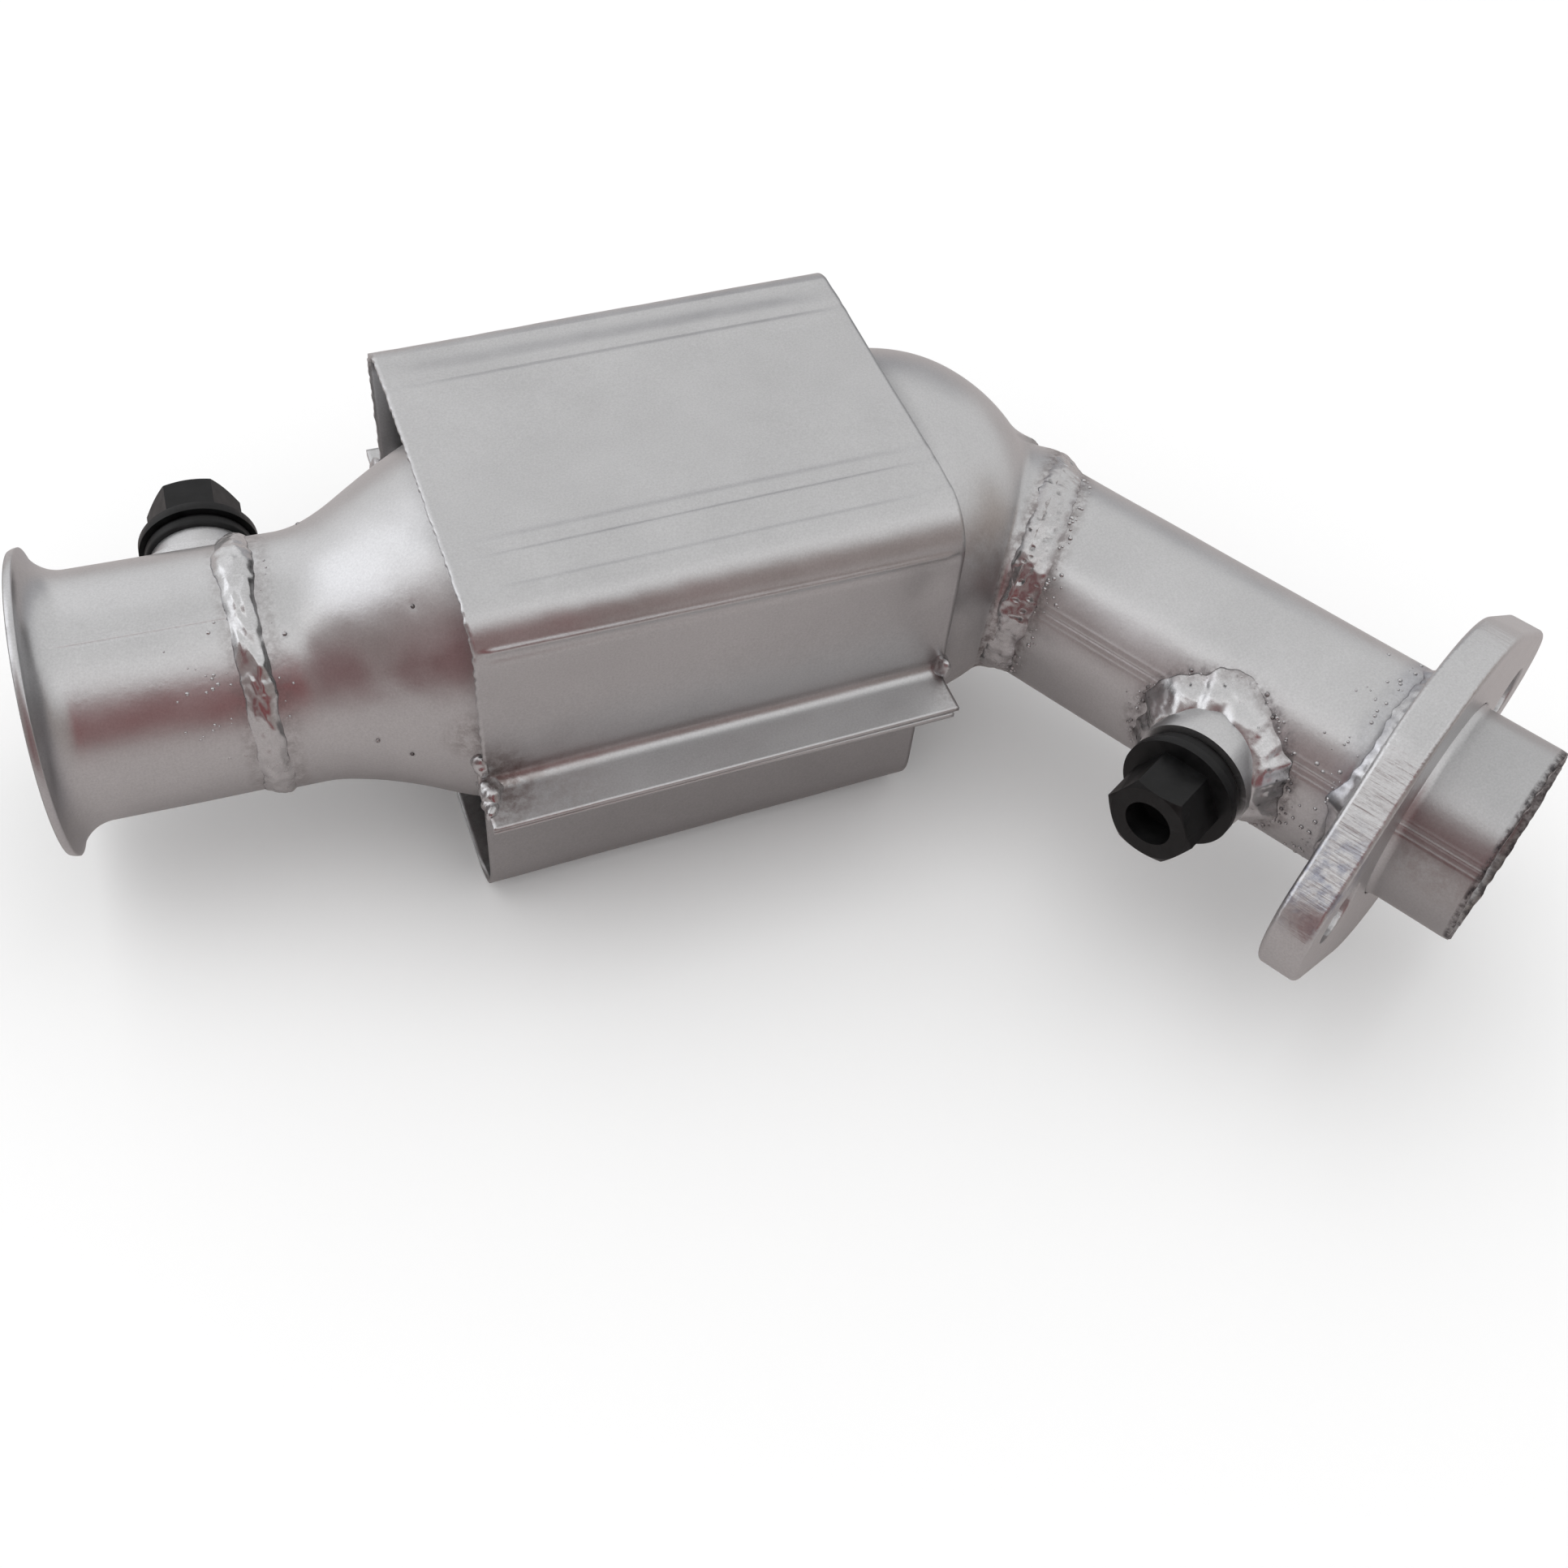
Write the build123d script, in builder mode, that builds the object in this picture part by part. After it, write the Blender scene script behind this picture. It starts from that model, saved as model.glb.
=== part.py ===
from build123d import *
import os
from math import ceil, cos, hypot, radians, sin, sqrt, tan

os.makedirs("parts", exist_ok=True)

# Catalytic converter: inlet pipe, cone, can in a two-part heat shield, domed cap, outlet pipe and flange.
# Millimetres, +Z up. The origin is the centre of the inlet mouth, and the can lies along +X.

# Sheet, clearances and small sizes shared by several pieces
can_sheet = 1.5
shield_sheet = 1.0
pipe_wall = 1.8
gap = 0.3                   # between curved faces that sit against each other
weld_height = 1.0           # how far a seam weld stands over the wall that it joins

# Inlet pipe and its flared lip
inlet_od = 55.6
inlet_length = 47.5         # lip to the end that the cone is welded to
inlet_turn = 3.4            # degrees in plan, between the pipe and the can
inlet_reach = 84.4          # lip to the point where the pipe's line meets the can's line
lip_bend = 8.4              # radius of the flare on the outer face
lip_sweep = 75              # degrees
inlet_weld_width = 7.0
inlet_weld_lap = 5.0        # part of the weld that lies on the pipe, the rest lies on the cone

# Can, cone and cap
can_od = 86.8
can_rise = 2.55             # axis of the can above the axis of the inlet
can_start = 97.85
can_length = 85.0
cone_mouth_od = 57.2
cone_straight = 6.5         # part of the cone before it widens
cone_turn_lead = 2.0        # the cone starts to turn this far before it widens
cone_centred = 76.0         # from here the cone is concentric with the can
cone_rings = 7              # rings that shape the widening part
cap_skirt = 9.5
cap_depth = 43.0            # dome, from the skirt to its far end
girth_bevel = 1.1           # bevel of the welded joints at both ends of the can
girth_crown = 0.1

# Substrate and its mat
mat_thickness = 3.4
substrate_length = 78.0
channel = 5.0
channel_web = 1.2

# Outlet pipe
outlet_x = 214.53           # where the pipe's line leaves the can's line
outlet_z = 0.15
outlet_turn = 61.07         # degrees in plan, to the -Y side
outlet_lift = 2.13          # degrees up
outlet_od = 50.8
outlet_length = 153.45      # from its start point to the open end
spigot_length = 19.65       # in front of the flange
seat_step = 0.75            # the pipe is this much smaller all round where it sits in the flange
spigot_step = 0.45          # and its sized end, in front of the flange, this much smaller again
spigot_taper = 1.0
seat_back = 1.9             # the seat starts this far behind the flange
seat_taper = 3.0

# Neck of the cap, and its slanted end
neck_wall = 1.2
neck_stand = 2.85           # how far the neck stands out of the dome on its long side
neck_slant = 21.5           # degrees between the neck's end plane and a square cut
neck_slant_side = 80.0      # the long side, in degrees from straight up towards the can
neck_ball = 10.0            # station of the ball that rounds the elbow, along the outlet pipe
neck_blend_r = 4.0          # fillet between the neck and the dome
pipe_in_neck = 7.0
outlet_weld_width = 7.0
outlet_weld_edge = 0.6      # chamfer of the weld's edges

# Outlet flange
flange_thickness = 9.4
flange_middle_r = 42.1
flange_ear_r = 17.3
bolt_spacing = 81.0
bolt_hole = 15.0
flange_bore_play = 0.25
flange_weld_leg = 6.0
flange_edge_break = 0.8

# Sensor bosses and their plugs, the same on both pipes
boss_bore = 18.1
shank_od = 17.6
shank_reach = 7.7           # below the boss seat
gasket_od = 24.8
gasket_thickness = 3.8
gasket_edge_r = 1.27
plug_flange_od = 27.0
plug_flange_thickness = 2.3
hex_across = 18.6
plug_height = 14.4          # flange underside to the top of the hexagon
hex_corner_od = 18.4        # circle where the bevel meets the top of the hexagon
hex_bevel = 30              # degrees
recess_od = 11.0
recess_depth = 7.0
boss_weld_width = 2.5
boss_weld_height = 2.6
inlet_weld_break = 2.3      # between the inlet boss and the ends of the weld beside it
inlet_boss_back = 10.5      # from the end of the inlet pipe
inlet_boss_seat = 34.3      # from the pipe's axis
inlet_boss_od = 23.0
outlet_boss_station = 91.2
outlet_boss_seat = 32.5
outlet_boss_od = 27.4
outlet_boss_angle = 85.8    # degrees from straight up towards the can

# Heat shield halves
shield_start = 84.12
shield_length = 107.59
shield_top = 51.03
shield_half_width = 47.4    # outer face of the upper half's wall, at the seam
wall_draft = 0.86
shoulder_r = 12.23
seam_z = 3.32               # top of the upper half's flange
flange_half_width = 59.76
fold_r = 3.0
end_step = 1.4              # the flanges start and end this much nearer the inlet
lower_short = 1.0           # the lower half ends this much sooner at the outlet
shield_bottom = -50.46
belly_r = 16.05
bead_width = 6.5
bead_height = 0.7
bead_slope = 62
bead_from_middle = 25.0
bead_end = 4.5
side_bead_r = 1.1
side_bead_height = 0.6
side_bead_first = 66.0      # degrees round the shoulder from the top, at the inlet end
side_bead_last = 81.0       # and at the outlet end
side_bead_end = 2.0

# Stand-off clips and tack welds between the can and the shield
clip_width = 14.0
clip_sheet = 1.0
clip_low = 4.0              # above the seam
clip_leg = 6.0
clip_inset = 24.0
clip_lap = 3.0              # the clip's section reaches this far into the can before it is cut to its curve
tack_r = 3.2
tack_inset = 4.6
tack_rise = 4.4             # above the seam

# Worked-out radii, lengths and axes
inlet_r = inlet_od / 2
can_r = can_od / 2
outlet_r = outlet_od / 2
seat_r = outlet_r - seat_step
spigot_r = seat_r - spigot_step
flange_face = outlet_length - spigot_length
flange_back = flange_face - flange_thickness
seat_start = flange_back - seat_back
neck_r = outlet_r + gap + neck_wall
can_y = -inlet_reach * sin(radians(inlet_turn))
can_end = can_start + can_length
cap_start = can_end + cap_skirt
cone_widens = inlet_length + cone_straight
shield_end = shield_start + shield_length
can_axis = Plane(origin=(0, can_y, can_rise), x_dir=(0, 1, 0), z_dir=(1, 0, 0))
can_profile = Plane(origin=(0, can_y, can_rise), x_dir=(1, 0, 0), z_dir=(0, -1, 0))
section = Plane(origin=(shield_start, can_y, 0), x_dir=(0, 1, 0), z_dir=(1, 0, 0))

inlet_dir = Vector(cos(radians(inlet_turn)), -sin(radians(inlet_turn)), 0)
inlet_side = Vector(sin(radians(inlet_turn)), cos(radians(inlet_turn)), 0)      # level, towards +Y
inlet = Plane(origin=(0, 0, 0), x_dir=(0, 0, 1), z_dir=inlet_dir)
inlet_section = Plane(origin=(0, 0, 0), x_dir=(0, 0, 1), z_dir=inlet_side)
inlet_boss_axis = Plane(
    origin=inlet_dir * (inlet_length - inlet_boss_back), x_dir=inlet_dir, z_dir=inlet_side
)

outlet_dir = Vector(
    cos(radians(outlet_lift)) * cos(radians(outlet_turn)),
    -cos(radians(outlet_lift)) * sin(radians(outlet_turn)),
    sin(radians(outlet_lift)),
)
outlet_side = outlet_dir.cross(Vector(0, 0, 1)).normalized()     # level, towards the can
outlet_up = outlet_side.cross(outlet_dir)
outlet_start = Vector(outlet_x, can_y, outlet_z)
outlet = Plane(origin=outlet_start, x_dir=-outlet_side, z_dir=outlet_dir)
outlet_section = Plane(origin=outlet_start, x_dir=outlet_side, z_dir=outlet_up)


def around(turn):
    """Direction square to the outlet pipe, turned from straight up towards the can."""
    return outlet_up * cos(radians(turn)) + outlet_side * sin(radians(turn))


def outlet_point(station):
    return outlet_start + outlet_dir * station


outlet_boss_axis = Plane(
    origin=outlet_point(outlet_boss_station), x_dir=outlet_dir, z_dir=around(outlet_boss_angle)
)


def dome_station(direction, radius):
    """Station at which a line along the outlet pipe, beside its axis, comes out of the dome."""
    start = outlet_start + direction * radius - Vector(cap_start, can_y, can_rise)
    start = Vector(start.X / cap_depth, start.Y / can_r, start.Z / can_r)
    heading = Vector(outlet_dir.X / cap_depth, outlet_dir.Y / can_r, outlet_dir.Z / can_r)
    along = start.dot(heading)
    return (sqrt(along**2 - heading.dot(heading) * (start.dot(start) - 1)) - along) / heading.dot(heading)


neck_long_side = dome_station(around(neck_slant_side), neck_r) + neck_stand
neck_end = neck_long_side - neck_r * tan(radians(neck_slant))      # on the pipe's axis


def slant_plane(station):
    """Slanted cut across the outlet pipe, parallel to the end of the neck."""
    slant = radians(neck_slant)
    normal = outlet_dir * cos(slant) - around(neck_slant_side) * sin(slant)
    return Plane(origin=outlet_point(station), x_dir=around(neck_slant_side + 90), z_dir=normal)


def smooth(start, end, value):
    share = min(max((value - start) / (end - start), 0), 1)
    return share * share * (3 - 2 * share)


def finish(builder, name):
    builder.part.label = name
    export_step(builder.part, f"parts/{name}.step")


# Inlet pipe with the flared lip
flare_station = (lip_bend + pipe_wall) * sin(radians(lip_sweep))
flare_centre = inlet_r + lip_bend


def flare(radius, turn):
    """Point on the flare, as distance from the axis and station."""
    return (flare_centre - radius * cos(radians(turn)), flare_station - radius * sin(radians(turn)))


with BuildPart() as inlet_pipe:
    with BuildSketch(inlet_section):
        with BuildLine():
            Line((inlet_r - pipe_wall, inlet_length), (inlet_r - pipe_wall, flare_station))
            ThreePointArc(
                (inlet_r - pipe_wall, flare_station),
                flare(lip_bend + pipe_wall, lip_sweep / 2),
                flare(lip_bend + pipe_wall, lip_sweep),
            )
            Line(flare(lip_bend + pipe_wall, lip_sweep), flare(lip_bend, lip_sweep))
            ThreePointArc(
                flare(lip_bend, lip_sweep),
                flare(lip_bend, lip_sweep / 2),
                (inlet_r, flare_station),
            )
            Line((inlet_r, flare_station), (inlet_r, inlet_length))
            Line((inlet_r, inlet_length), (inlet_r - pipe_wall, inlet_length))
        make_face()
    revolve(axis=Axis((0, 0, 0), inlet_dir))
    with BuildSketch(inlet_boss_axis):
        Circle(boss_bore / 2)
    extrude(amount=inlet_od, mode=Mode.SUBTRACT)
finish(inlet_pipe, "inlet_pipe")


# Welds round the can, nearly flush with it, in the bevels of the two joints
with BuildPart() as can_girth_welds:
    for joint in (can_start, can_end):
        with BuildSketch(can_profile):
            with BuildLine():
                Polyline(
                    (joint - girth_bevel, can_r + girth_crown),
                    (joint + girth_bevel, can_r + girth_crown),
                    (joint, can_r - girth_bevel),
                    close=True,
                )
            make_face()
        revolve(axis=Axis((0, can_y, can_rise), (1, 0, 0)))
finish(can_girth_welds, "can_girth_welds")


# Cone from the inlet pipe to the can
def cone_plane(station):
    """Plane of one ring of the cone. It turns from the pipe's line to the can's line."""
    share = smooth(cone_widens - cone_turn_lead, cone_centred, station)
    on_pipe = inlet_dir * station
    shift = can_start * (1 - inlet_dir.X) * share
    on_can = Vector(station * inlet_dir.X + shift, can_y, can_rise)
    facing = inlet_dir * (1 - share) + Vector(1, 0, 0) * share
    return Plane(origin=on_pipe * (1 - share) + on_can * share, x_dir=(0, 0, 1), z_dir=facing)


def cone_radius(station):
    widen = smooth(cone_widens, can_start, station)
    return cone_mouth_od / 2 + (can_r - cone_mouth_od / 2) * widen


cone_stations = [inlet_length]
for ring in range(cone_rings):
    cone_stations.append(cone_widens + (can_start - cone_widens) * ring / (cone_rings - 1))


def cone_solid(inset):
    """Solid cone whose wall is inset from the outer face."""
    with BuildPart() as solid:
        for station in cone_stations:
            with BuildSketch(cone_plane(station)):
                Circle(cone_radius(station) - inset)
        loft()
    return solid.part


cone_outside = cone_solid(0)
cone_inside = cone_solid(can_sheet)

with BuildPart() as inlet_cone:
    add(cone_outside)
    add(cone_inside, mode=Mode.SUBTRACT)
    add(can_girth_welds.part, mode=Mode.SUBTRACT)
finish(inlet_cone, "inlet_cone")

# Seam weld between the inlet pipe and the cone, open where the sensor boss stands
weld_start = inlet_length - inlet_weld_lap
weld_end = weld_start + inlet_weld_width
weld_top = cone_mouth_od / 2 + weld_height

with BuildPart() as inlet_weld:
    with BuildSketch(inlet_section):
        with BuildLine():
            Line((inlet_r + gap, weld_start), (inlet_r + gap, inlet_length))
            Line((inlet_r + gap, inlet_length), (cone_mouth_od / 2 + gap, inlet_length))
            Line((cone_mouth_od / 2 + gap, inlet_length), (cone_mouth_od / 2 + gap, weld_end))
            ThreePointArc(
                (cone_mouth_od / 2 + gap, weld_end),
                (weld_top, (weld_start + weld_end) / 2),
                (inlet_r + gap, weld_start),
            )
        make_face()
    revolve(axis=Axis((0, 0, 0), inlet_dir))
    with BuildSketch(inlet_boss_axis):
        Circle(inlet_boss_od / 2 + inlet_weld_break)
    extrude(amount=inlet_od, mode=Mode.SUBTRACT)
finish(inlet_weld, "inlet_weld")

# Can body
with BuildPart() as can_body:
    with BuildSketch(can_axis.offset(can_start)):
        Circle(can_r)
        Circle(can_r - can_sheet, mode=Mode.SUBTRACT)
    extrude(amount=can_length)
    add(can_girth_welds.part, mode=Mode.SUBTRACT)
finish(can_body, "can_body")


# Domed cap with its neck
def cap_solid(inset, neck_inset):
    """Skirt, dome, neck and the ball in the elbow as one blended solid, inset from the outer face."""
    bulb_r = can_r - inset
    reach = cap_depth - inset
    with BuildPart() as solid:
        with BuildSketch(can_profile):
            with BuildLine():
                Line((can_end, 0), (can_end, bulb_r))
                Line((can_end, bulb_r), (cap_start, bulb_r))
                EllipticalCenterArc((cap_start, 0), reach, bulb_r, start_angle=0, arc_size=90)
                Line((cap_start + reach, 0), (can_end, 0))
            make_face()
        revolve(axis=Axis((0, can_y, can_rise), (1, 0, 0)))
        with BuildSketch(outlet.offset(neck_ball)):
            Circle(neck_r - neck_inset)
        extrude(amount=neck_end + outlet_od)
        with Locations(outlet.offset(neck_ball).location):
            Sphere(neck_r - neck_inset)
        fillet(solid.edges().filter_by(GeomType.BSPLINE), radius=neck_blend_r + inset)
    return solid.part


cap_outside = cap_solid(0, 0)

with BuildPart() as outlet_cap:
    add(cap_outside)
    add(cap_solid(can_sheet, neck_wall), mode=Mode.SUBTRACT)
    add(can_girth_welds.part, mode=Mode.SUBTRACT)
    split(bisect_by=slant_plane(neck_end), keep=Keep.BOTTOM)
finish(outlet_cap, "outlet_cap")

# Support mat and ceramic substrate
mat_r = can_r - can_sheet - gap
substrate_r = mat_r - mat_thickness - gap
substrate_start = can_start + (can_length - substrate_length) / 2

with BuildPart() as support_mat:
    with BuildSketch(can_axis.offset(substrate_start)):
        Circle(mat_r)
        Circle(mat_r - mat_thickness, mode=Mode.SUBTRACT)
    extrude(amount=substrate_length)
finish(support_mat, "support_mat")

channel_pitch = channel + channel_web
channel_count = ceil(substrate_r / channel_pitch)
channel_places = []
for row in range(-channel_count, channel_count + 1):
    for column in range(-channel_count, channel_count + 1):
        corner = hypot(abs(row) * channel_pitch + channel / 2, abs(column) * channel_pitch + channel / 2)
        if corner < substrate_r - channel_web:
            channel_places.append((column * channel_pitch, row * channel_pitch))

with BuildPart() as ceramic_substrate:
    with BuildSketch(can_axis.offset(substrate_start)):
        Circle(substrate_r)
        with Locations(channel_places):
            Rectangle(channel, channel, mode=Mode.SUBTRACT)
    extrude(amount=substrate_length)
finish(ceramic_substrate, "ceramic_substrate")

# Upper heat shield
wall_lean = tan(radians(wall_draft))
shoulder_y = shield_half_width - (shield_top - seam_z) * wall_lean

fold_z = seam_z + fold_r        # where the flange's fold meets the wall
shoulder_centre_z = shield_top - shoulder_r
shoulder_centre_y = shoulder_y - shoulder_r * (1 / cos(radians(wall_draft)) - wall_lean)
side_bead_at = shoulder_r - side_bead_r + side_bead_height      # from the middle of the shoulder's bend


def side_bead(side):
    """Ridge along a shoulder, lower at the outlet end. It ends inside the thickness of the sheet."""
    with BuildPart() as bead:
        ends = ((side_bead_end, side_bead_first), (shield_length - side_bead_end, side_bead_last))
        for station, angle in ends:
            bead_y = side * (shoulder_centre_y + side_bead_at * sin(radians(angle)))
            bead_z = shoulder_centre_z + side_bead_at * cos(radians(angle))
            with BuildSketch(section.offset(station)):
                with Locations((bead_y, bead_z)):
                    Circle(side_bead_r)
        loft()
        with BuildSketch(section):
            with Locations((side * shoulder_centre_y, shoulder_centre_z)):
                Circle(shoulder_r - shield_sheet / 2)
        extrude(amount=shield_length, mode=Mode.SUBTRACT)
    return bead.part


with BuildPart() as upper_heat_shield:
    with BuildSketch(section.offset(-end_step)):
        with BuildLine():
            FilletPolyline(
                (-flange_half_width, seam_z),
                (-shield_half_width, seam_z),
                (-shoulder_y, shield_top),
                (shoulder_y, shield_top),
                (shield_half_width, seam_z),
                (flange_half_width, seam_z),
                radius=[fold_r, shoulder_r, shoulder_r, fold_r],
            )
            offset(amount=shield_sheet, side=Side.RIGHT)
        make_face()
    extrude(amount=shield_length + end_step)
    with BuildSketch(section.offset(-end_step)):
        with Locations((0, fold_z)):
            Rectangle(2 * flange_half_width, shield_top, align=(Align.CENTER, Align.MIN))
    extrude(amount=end_step, mode=Mode.SUBTRACT)
    with BuildSketch(section.offset(shield_length - end_step)):
        with Locations((0, fold_z)):
            Rectangle(2 * flange_half_width, shield_top, align=(Align.CENTER, Align.MAX))
    extrude(amount=end_step, mode=Mode.SUBTRACT)
    for side in (-1, 1):
        with BuildSketch(Plane.XY.offset(shield_top)):
            with Locations((shield_start + shield_length / 2, can_y + side * bead_from_middle)):
                SlotOverall(shield_length - 2 * bead_end, bead_width)
        extrude(amount=bead_height, taper=bead_slope)
        with BuildSketch(Plane.XY.offset(shield_top - shield_sheet)):
            with Locations((shield_start + shield_length / 2, can_y + side * bead_from_middle)):
                SlotOverall(shield_length - 2 * bead_end, bead_width)
        extrude(amount=bead_height, taper=bead_slope, mode=Mode.SUBTRACT)
        add(side_bead(side))
finish(upper_heat_shield, "upper_heat_shield")

# Lower heat shield
lower_half_width = can_r + gap + shield_sheet
under_seam = seam_z - 2 * shield_sheet

with BuildPart() as lower_heat_shield:
    with BuildSketch(section.offset(-end_step)):
        with BuildLine():
            FilletPolyline(
                (-flange_half_width, under_seam),
                (-lower_half_width, under_seam),
                (-lower_half_width, shield_bottom),
                (lower_half_width, shield_bottom),
                (lower_half_width, under_seam),
                (flange_half_width, under_seam),
                radius=[fold_r, belly_r, belly_r, fold_r],
            )
            offset(amount=shield_sheet, side=Side.LEFT)
        make_face()
    extrude(amount=shield_length - lower_short)
    with BuildSketch(section.offset(-end_step)):
        with Locations((0, under_seam)):
            Rectangle(2 * flange_half_width, -2 * shield_bottom, align=(Align.CENTER, Align.MAX))
    extrude(amount=end_step, mode=Mode.SUBTRACT)
finish(lower_heat_shield, "lower_heat_shield")

# Outlet pipe with its reduced end
with BuildPart() as outlet_pipe:
    with BuildSketch(outlet_section):
        with BuildLine():
            Polyline(
                (outlet_r - pipe_wall, -outlet_od / 2),
                (outlet_r, -outlet_od / 2),
                (outlet_r, seat_start - seat_taper),
                (seat_r, seat_start),
                (seat_r, flange_face),
                (spigot_r, flange_face + spigot_taper),
                (spigot_r, outlet_length),
                (spigot_r - pipe_wall, outlet_length),
                (spigot_r - pipe_wall, seat_start),
                (outlet_r - pipe_wall, seat_start - seat_taper),
                close=True,
            )
        make_face()
    revolve(axis=Axis(outlet_start, outlet_dir))
    split(bisect_by=slant_plane(neck_end - pipe_in_neck), keep=Keep.TOP)
    with BuildSketch(outlet_boss_axis):
        Circle(boss_bore / 2)
    extrude(amount=outlet_od, mode=Mode.SUBTRACT)
finish(outlet_pipe, "outlet_pipe")

# Weld between the neck of the cap and the outlet pipe
outlet_weld_r = neck_r + weld_height

with BuildPart() as cap_space:
    add(cap_outside)
    with BuildSketch(outlet):
        Circle(neck_r + gap)
    extrude(amount=neck_end + outlet_od)
    split(bisect_by=slant_plane(neck_end), keep=Keep.BOTTOM)

with BuildPart() as outlet_weld:
    with BuildSketch(outlet):
        Circle(outlet_weld_r)
    extrude(amount=neck_end + outlet_od)
    split(bisect_by=slant_plane(neck_end + outlet_weld_width / 2), keep=Keep.BOTTOM)
    split(bisect_by=slant_plane(neck_end - outlet_weld_width / 2), keep=Keep.TOP)
    chamfer(outlet_weld.edges().filter_by(GeomType.ELLIPSE), length=outlet_weld_edge)
    with BuildSketch(outlet):
        Circle(outlet_r + gap)
    extrude(amount=neck_end + outlet_od, mode=Mode.SUBTRACT)
    add(cap_space.part, mode=Mode.SUBTRACT)
finish(outlet_weld, "outlet_weld")

# Outlet flange
ear_offset = bolt_spacing / 2

with BuildPart() as outlet_flange:
    with BuildSketch(outlet.offset(flange_back)):
        Circle(flange_middle_r)
        with Locations((-ear_offset, 0), (ear_offset, 0)):
            Circle(flange_ear_r)
        make_hull()
    extrude(amount=flange_thickness)
    chamfer(outlet_flange.faces().filter_by(outlet).edges(), length=flange_edge_break)
    with BuildSketch(outlet.offset(flange_back)):
        Circle(seat_r + flange_bore_play)
        with Locations((-ear_offset, 0), (ear_offset, 0)):
            Circle(bolt_hole / 2)
    extrude(amount=flange_thickness, mode=Mode.SUBTRACT)
finish(outlet_flange, "outlet_flange")

# Fillet weld behind the flange
with BuildPart() as flange_weld:
    with BuildSketch(outlet_section):
        with BuildLine():
            Polyline(
                (outlet_r + gap, flange_back - flange_weld_leg),
                (outlet_r + gap, seat_start - seat_taper),
                (seat_r + gap, seat_start),
                (seat_r + gap, flange_back),
                (outlet_r + flange_weld_leg, flange_back),
                close=True,
            )
        make_face()
    revolve(axis=Axis(outlet_start, outlet_dir))
finish(flange_weld, "flange_weld")


# Sensor bosses, gaskets and plugs
def pipe_solid(plane, radius, length):
    """Solid round bar along a pipe, used to cut what stands on that pipe to its curve."""
    with BuildPart() as bar:
        with BuildSketch(plane.offset(-length)):
            Circle(radius)
        extrude(amount=2 * length)
    return bar.part


def boss_part(axis, bar, seat, outer_od):
    """Round boss, flat on top and saddle-shaped where it stands on the pipe."""
    with BuildPart() as boss:
        with BuildSketch(axis):
            Circle(outer_od / 2)
            Circle(boss_bore / 2, mode=Mode.SUBTRACT)
        extrude(amount=seat)
        add(bar, mode=Mode.SUBTRACT)
    return boss.part


def boss_weld_part(axis, pipe_plane, pipe_r, outer_od, length):
    """Weld that runs round the foot of a boss, on the pipe."""
    with BuildPart() as weld:
        with BuildSketch(axis):
            Circle(outer_od / 2 + gap + boss_weld_width)
        extrude(amount=2 * pipe_r)
        add(pipe_solid(pipe_plane, pipe_r + gap + boss_weld_height, length), mode=Mode.INTERSECT)
        add(pipe_solid(pipe_plane, pipe_r + gap, length), mode=Mode.SUBTRACT)
        with BuildSketch(axis):
            Circle(outer_od / 2 + gap)
        extrude(amount=2 * pipe_r, mode=Mode.SUBTRACT)
    return weld.part


def gasket_part(axis, seat):
    """Crush ring, slightly barrelled."""
    with BuildPart() as ring:
        with BuildSketch(axis.offset(seat)):
            Circle(gasket_od / 2)
            Circle(boss_bore / 2 + gap, mode=Mode.SUBTRACT)
        extrude(amount=gasket_thickness)
        rims = ring.edges().filter_by(GeomType.CIRCLE).group_by(SortBy.RADIUS)[-1]
        fillet(rims, radius=gasket_edge_r)
    return ring.part


def plug_part(axis, seat):
    """Hexagon plug with a washer face, a round recess in its head and a plain shank."""
    underside = seat + gasket_thickness
    head = axis.offset(underside + plug_flange_thickness)
    head_height = plug_height - plug_flange_thickness
    with BuildPart() as plug:
        with BuildSketch(head):
            RegularPolygon(hex_across / 2, 6, major_radius=False)
        extrude(amount=head_height)
        with BuildSketch(Plane(origin=head.origin, x_dir=head.x_dir, z_dir=-head.y_dir)):
            Polygon(
                (hex_corner_od / 2, head_height),
                (hex_across, head_height),
                (hex_across, head_height - (hex_across - hex_corner_od / 2) * tan(radians(hex_bevel))),
                align=None,
            )
        revolve(axis=Axis(head.origin, head.z_dir), mode=Mode.SUBTRACT)
        with BuildSketch(axis.offset(underside)):
            Circle(plug_flange_od / 2)
        extrude(amount=plug_flange_thickness)
        with BuildSketch(axis.offset(underside)):
            Circle(shank_od / 2)
        extrude(amount=-gasket_thickness - shank_reach)
        with BuildSketch(head.offset(head_height)):
            Circle(recess_od / 2)
        extrude(amount=-recess_depth, mode=Mode.SUBTRACT)
    return plug.part


inlet_bar = pipe_solid(inlet, inlet_r + gap, inlet_length)
inlet_bar += pipe_solid(inlet.offset(inlet_length + can_start), cone_mouth_od / 2 + gap, can_start)
outlet_bar = pipe_solid(outlet, outlet_r + gap, outlet_length)

with BuildPart() as inlet_boss:
    add(boss_part(inlet_boss_axis, inlet_bar, inlet_boss_seat, inlet_boss_od))
finish(inlet_boss, "inlet_boss")

with BuildPart() as outlet_boss:
    add(boss_part(outlet_boss_axis, outlet_bar, outlet_boss_seat, outlet_boss_od))
finish(outlet_boss, "outlet_boss")

with BuildPart() as inlet_boss_weld:
    add(boss_weld_part(inlet_boss_axis, inlet, inlet_r, inlet_boss_od, inlet_length))
    split(bisect_by=inlet.offset(weld_start - gap), keep=Keep.BOTTOM)
finish(inlet_boss_weld, "inlet_boss_weld")

with BuildPart() as outlet_boss_weld:
    add(boss_weld_part(outlet_boss_axis, outlet, outlet_r, outlet_boss_od, outlet_length))
finish(outlet_boss_weld, "outlet_boss_weld")

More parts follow.
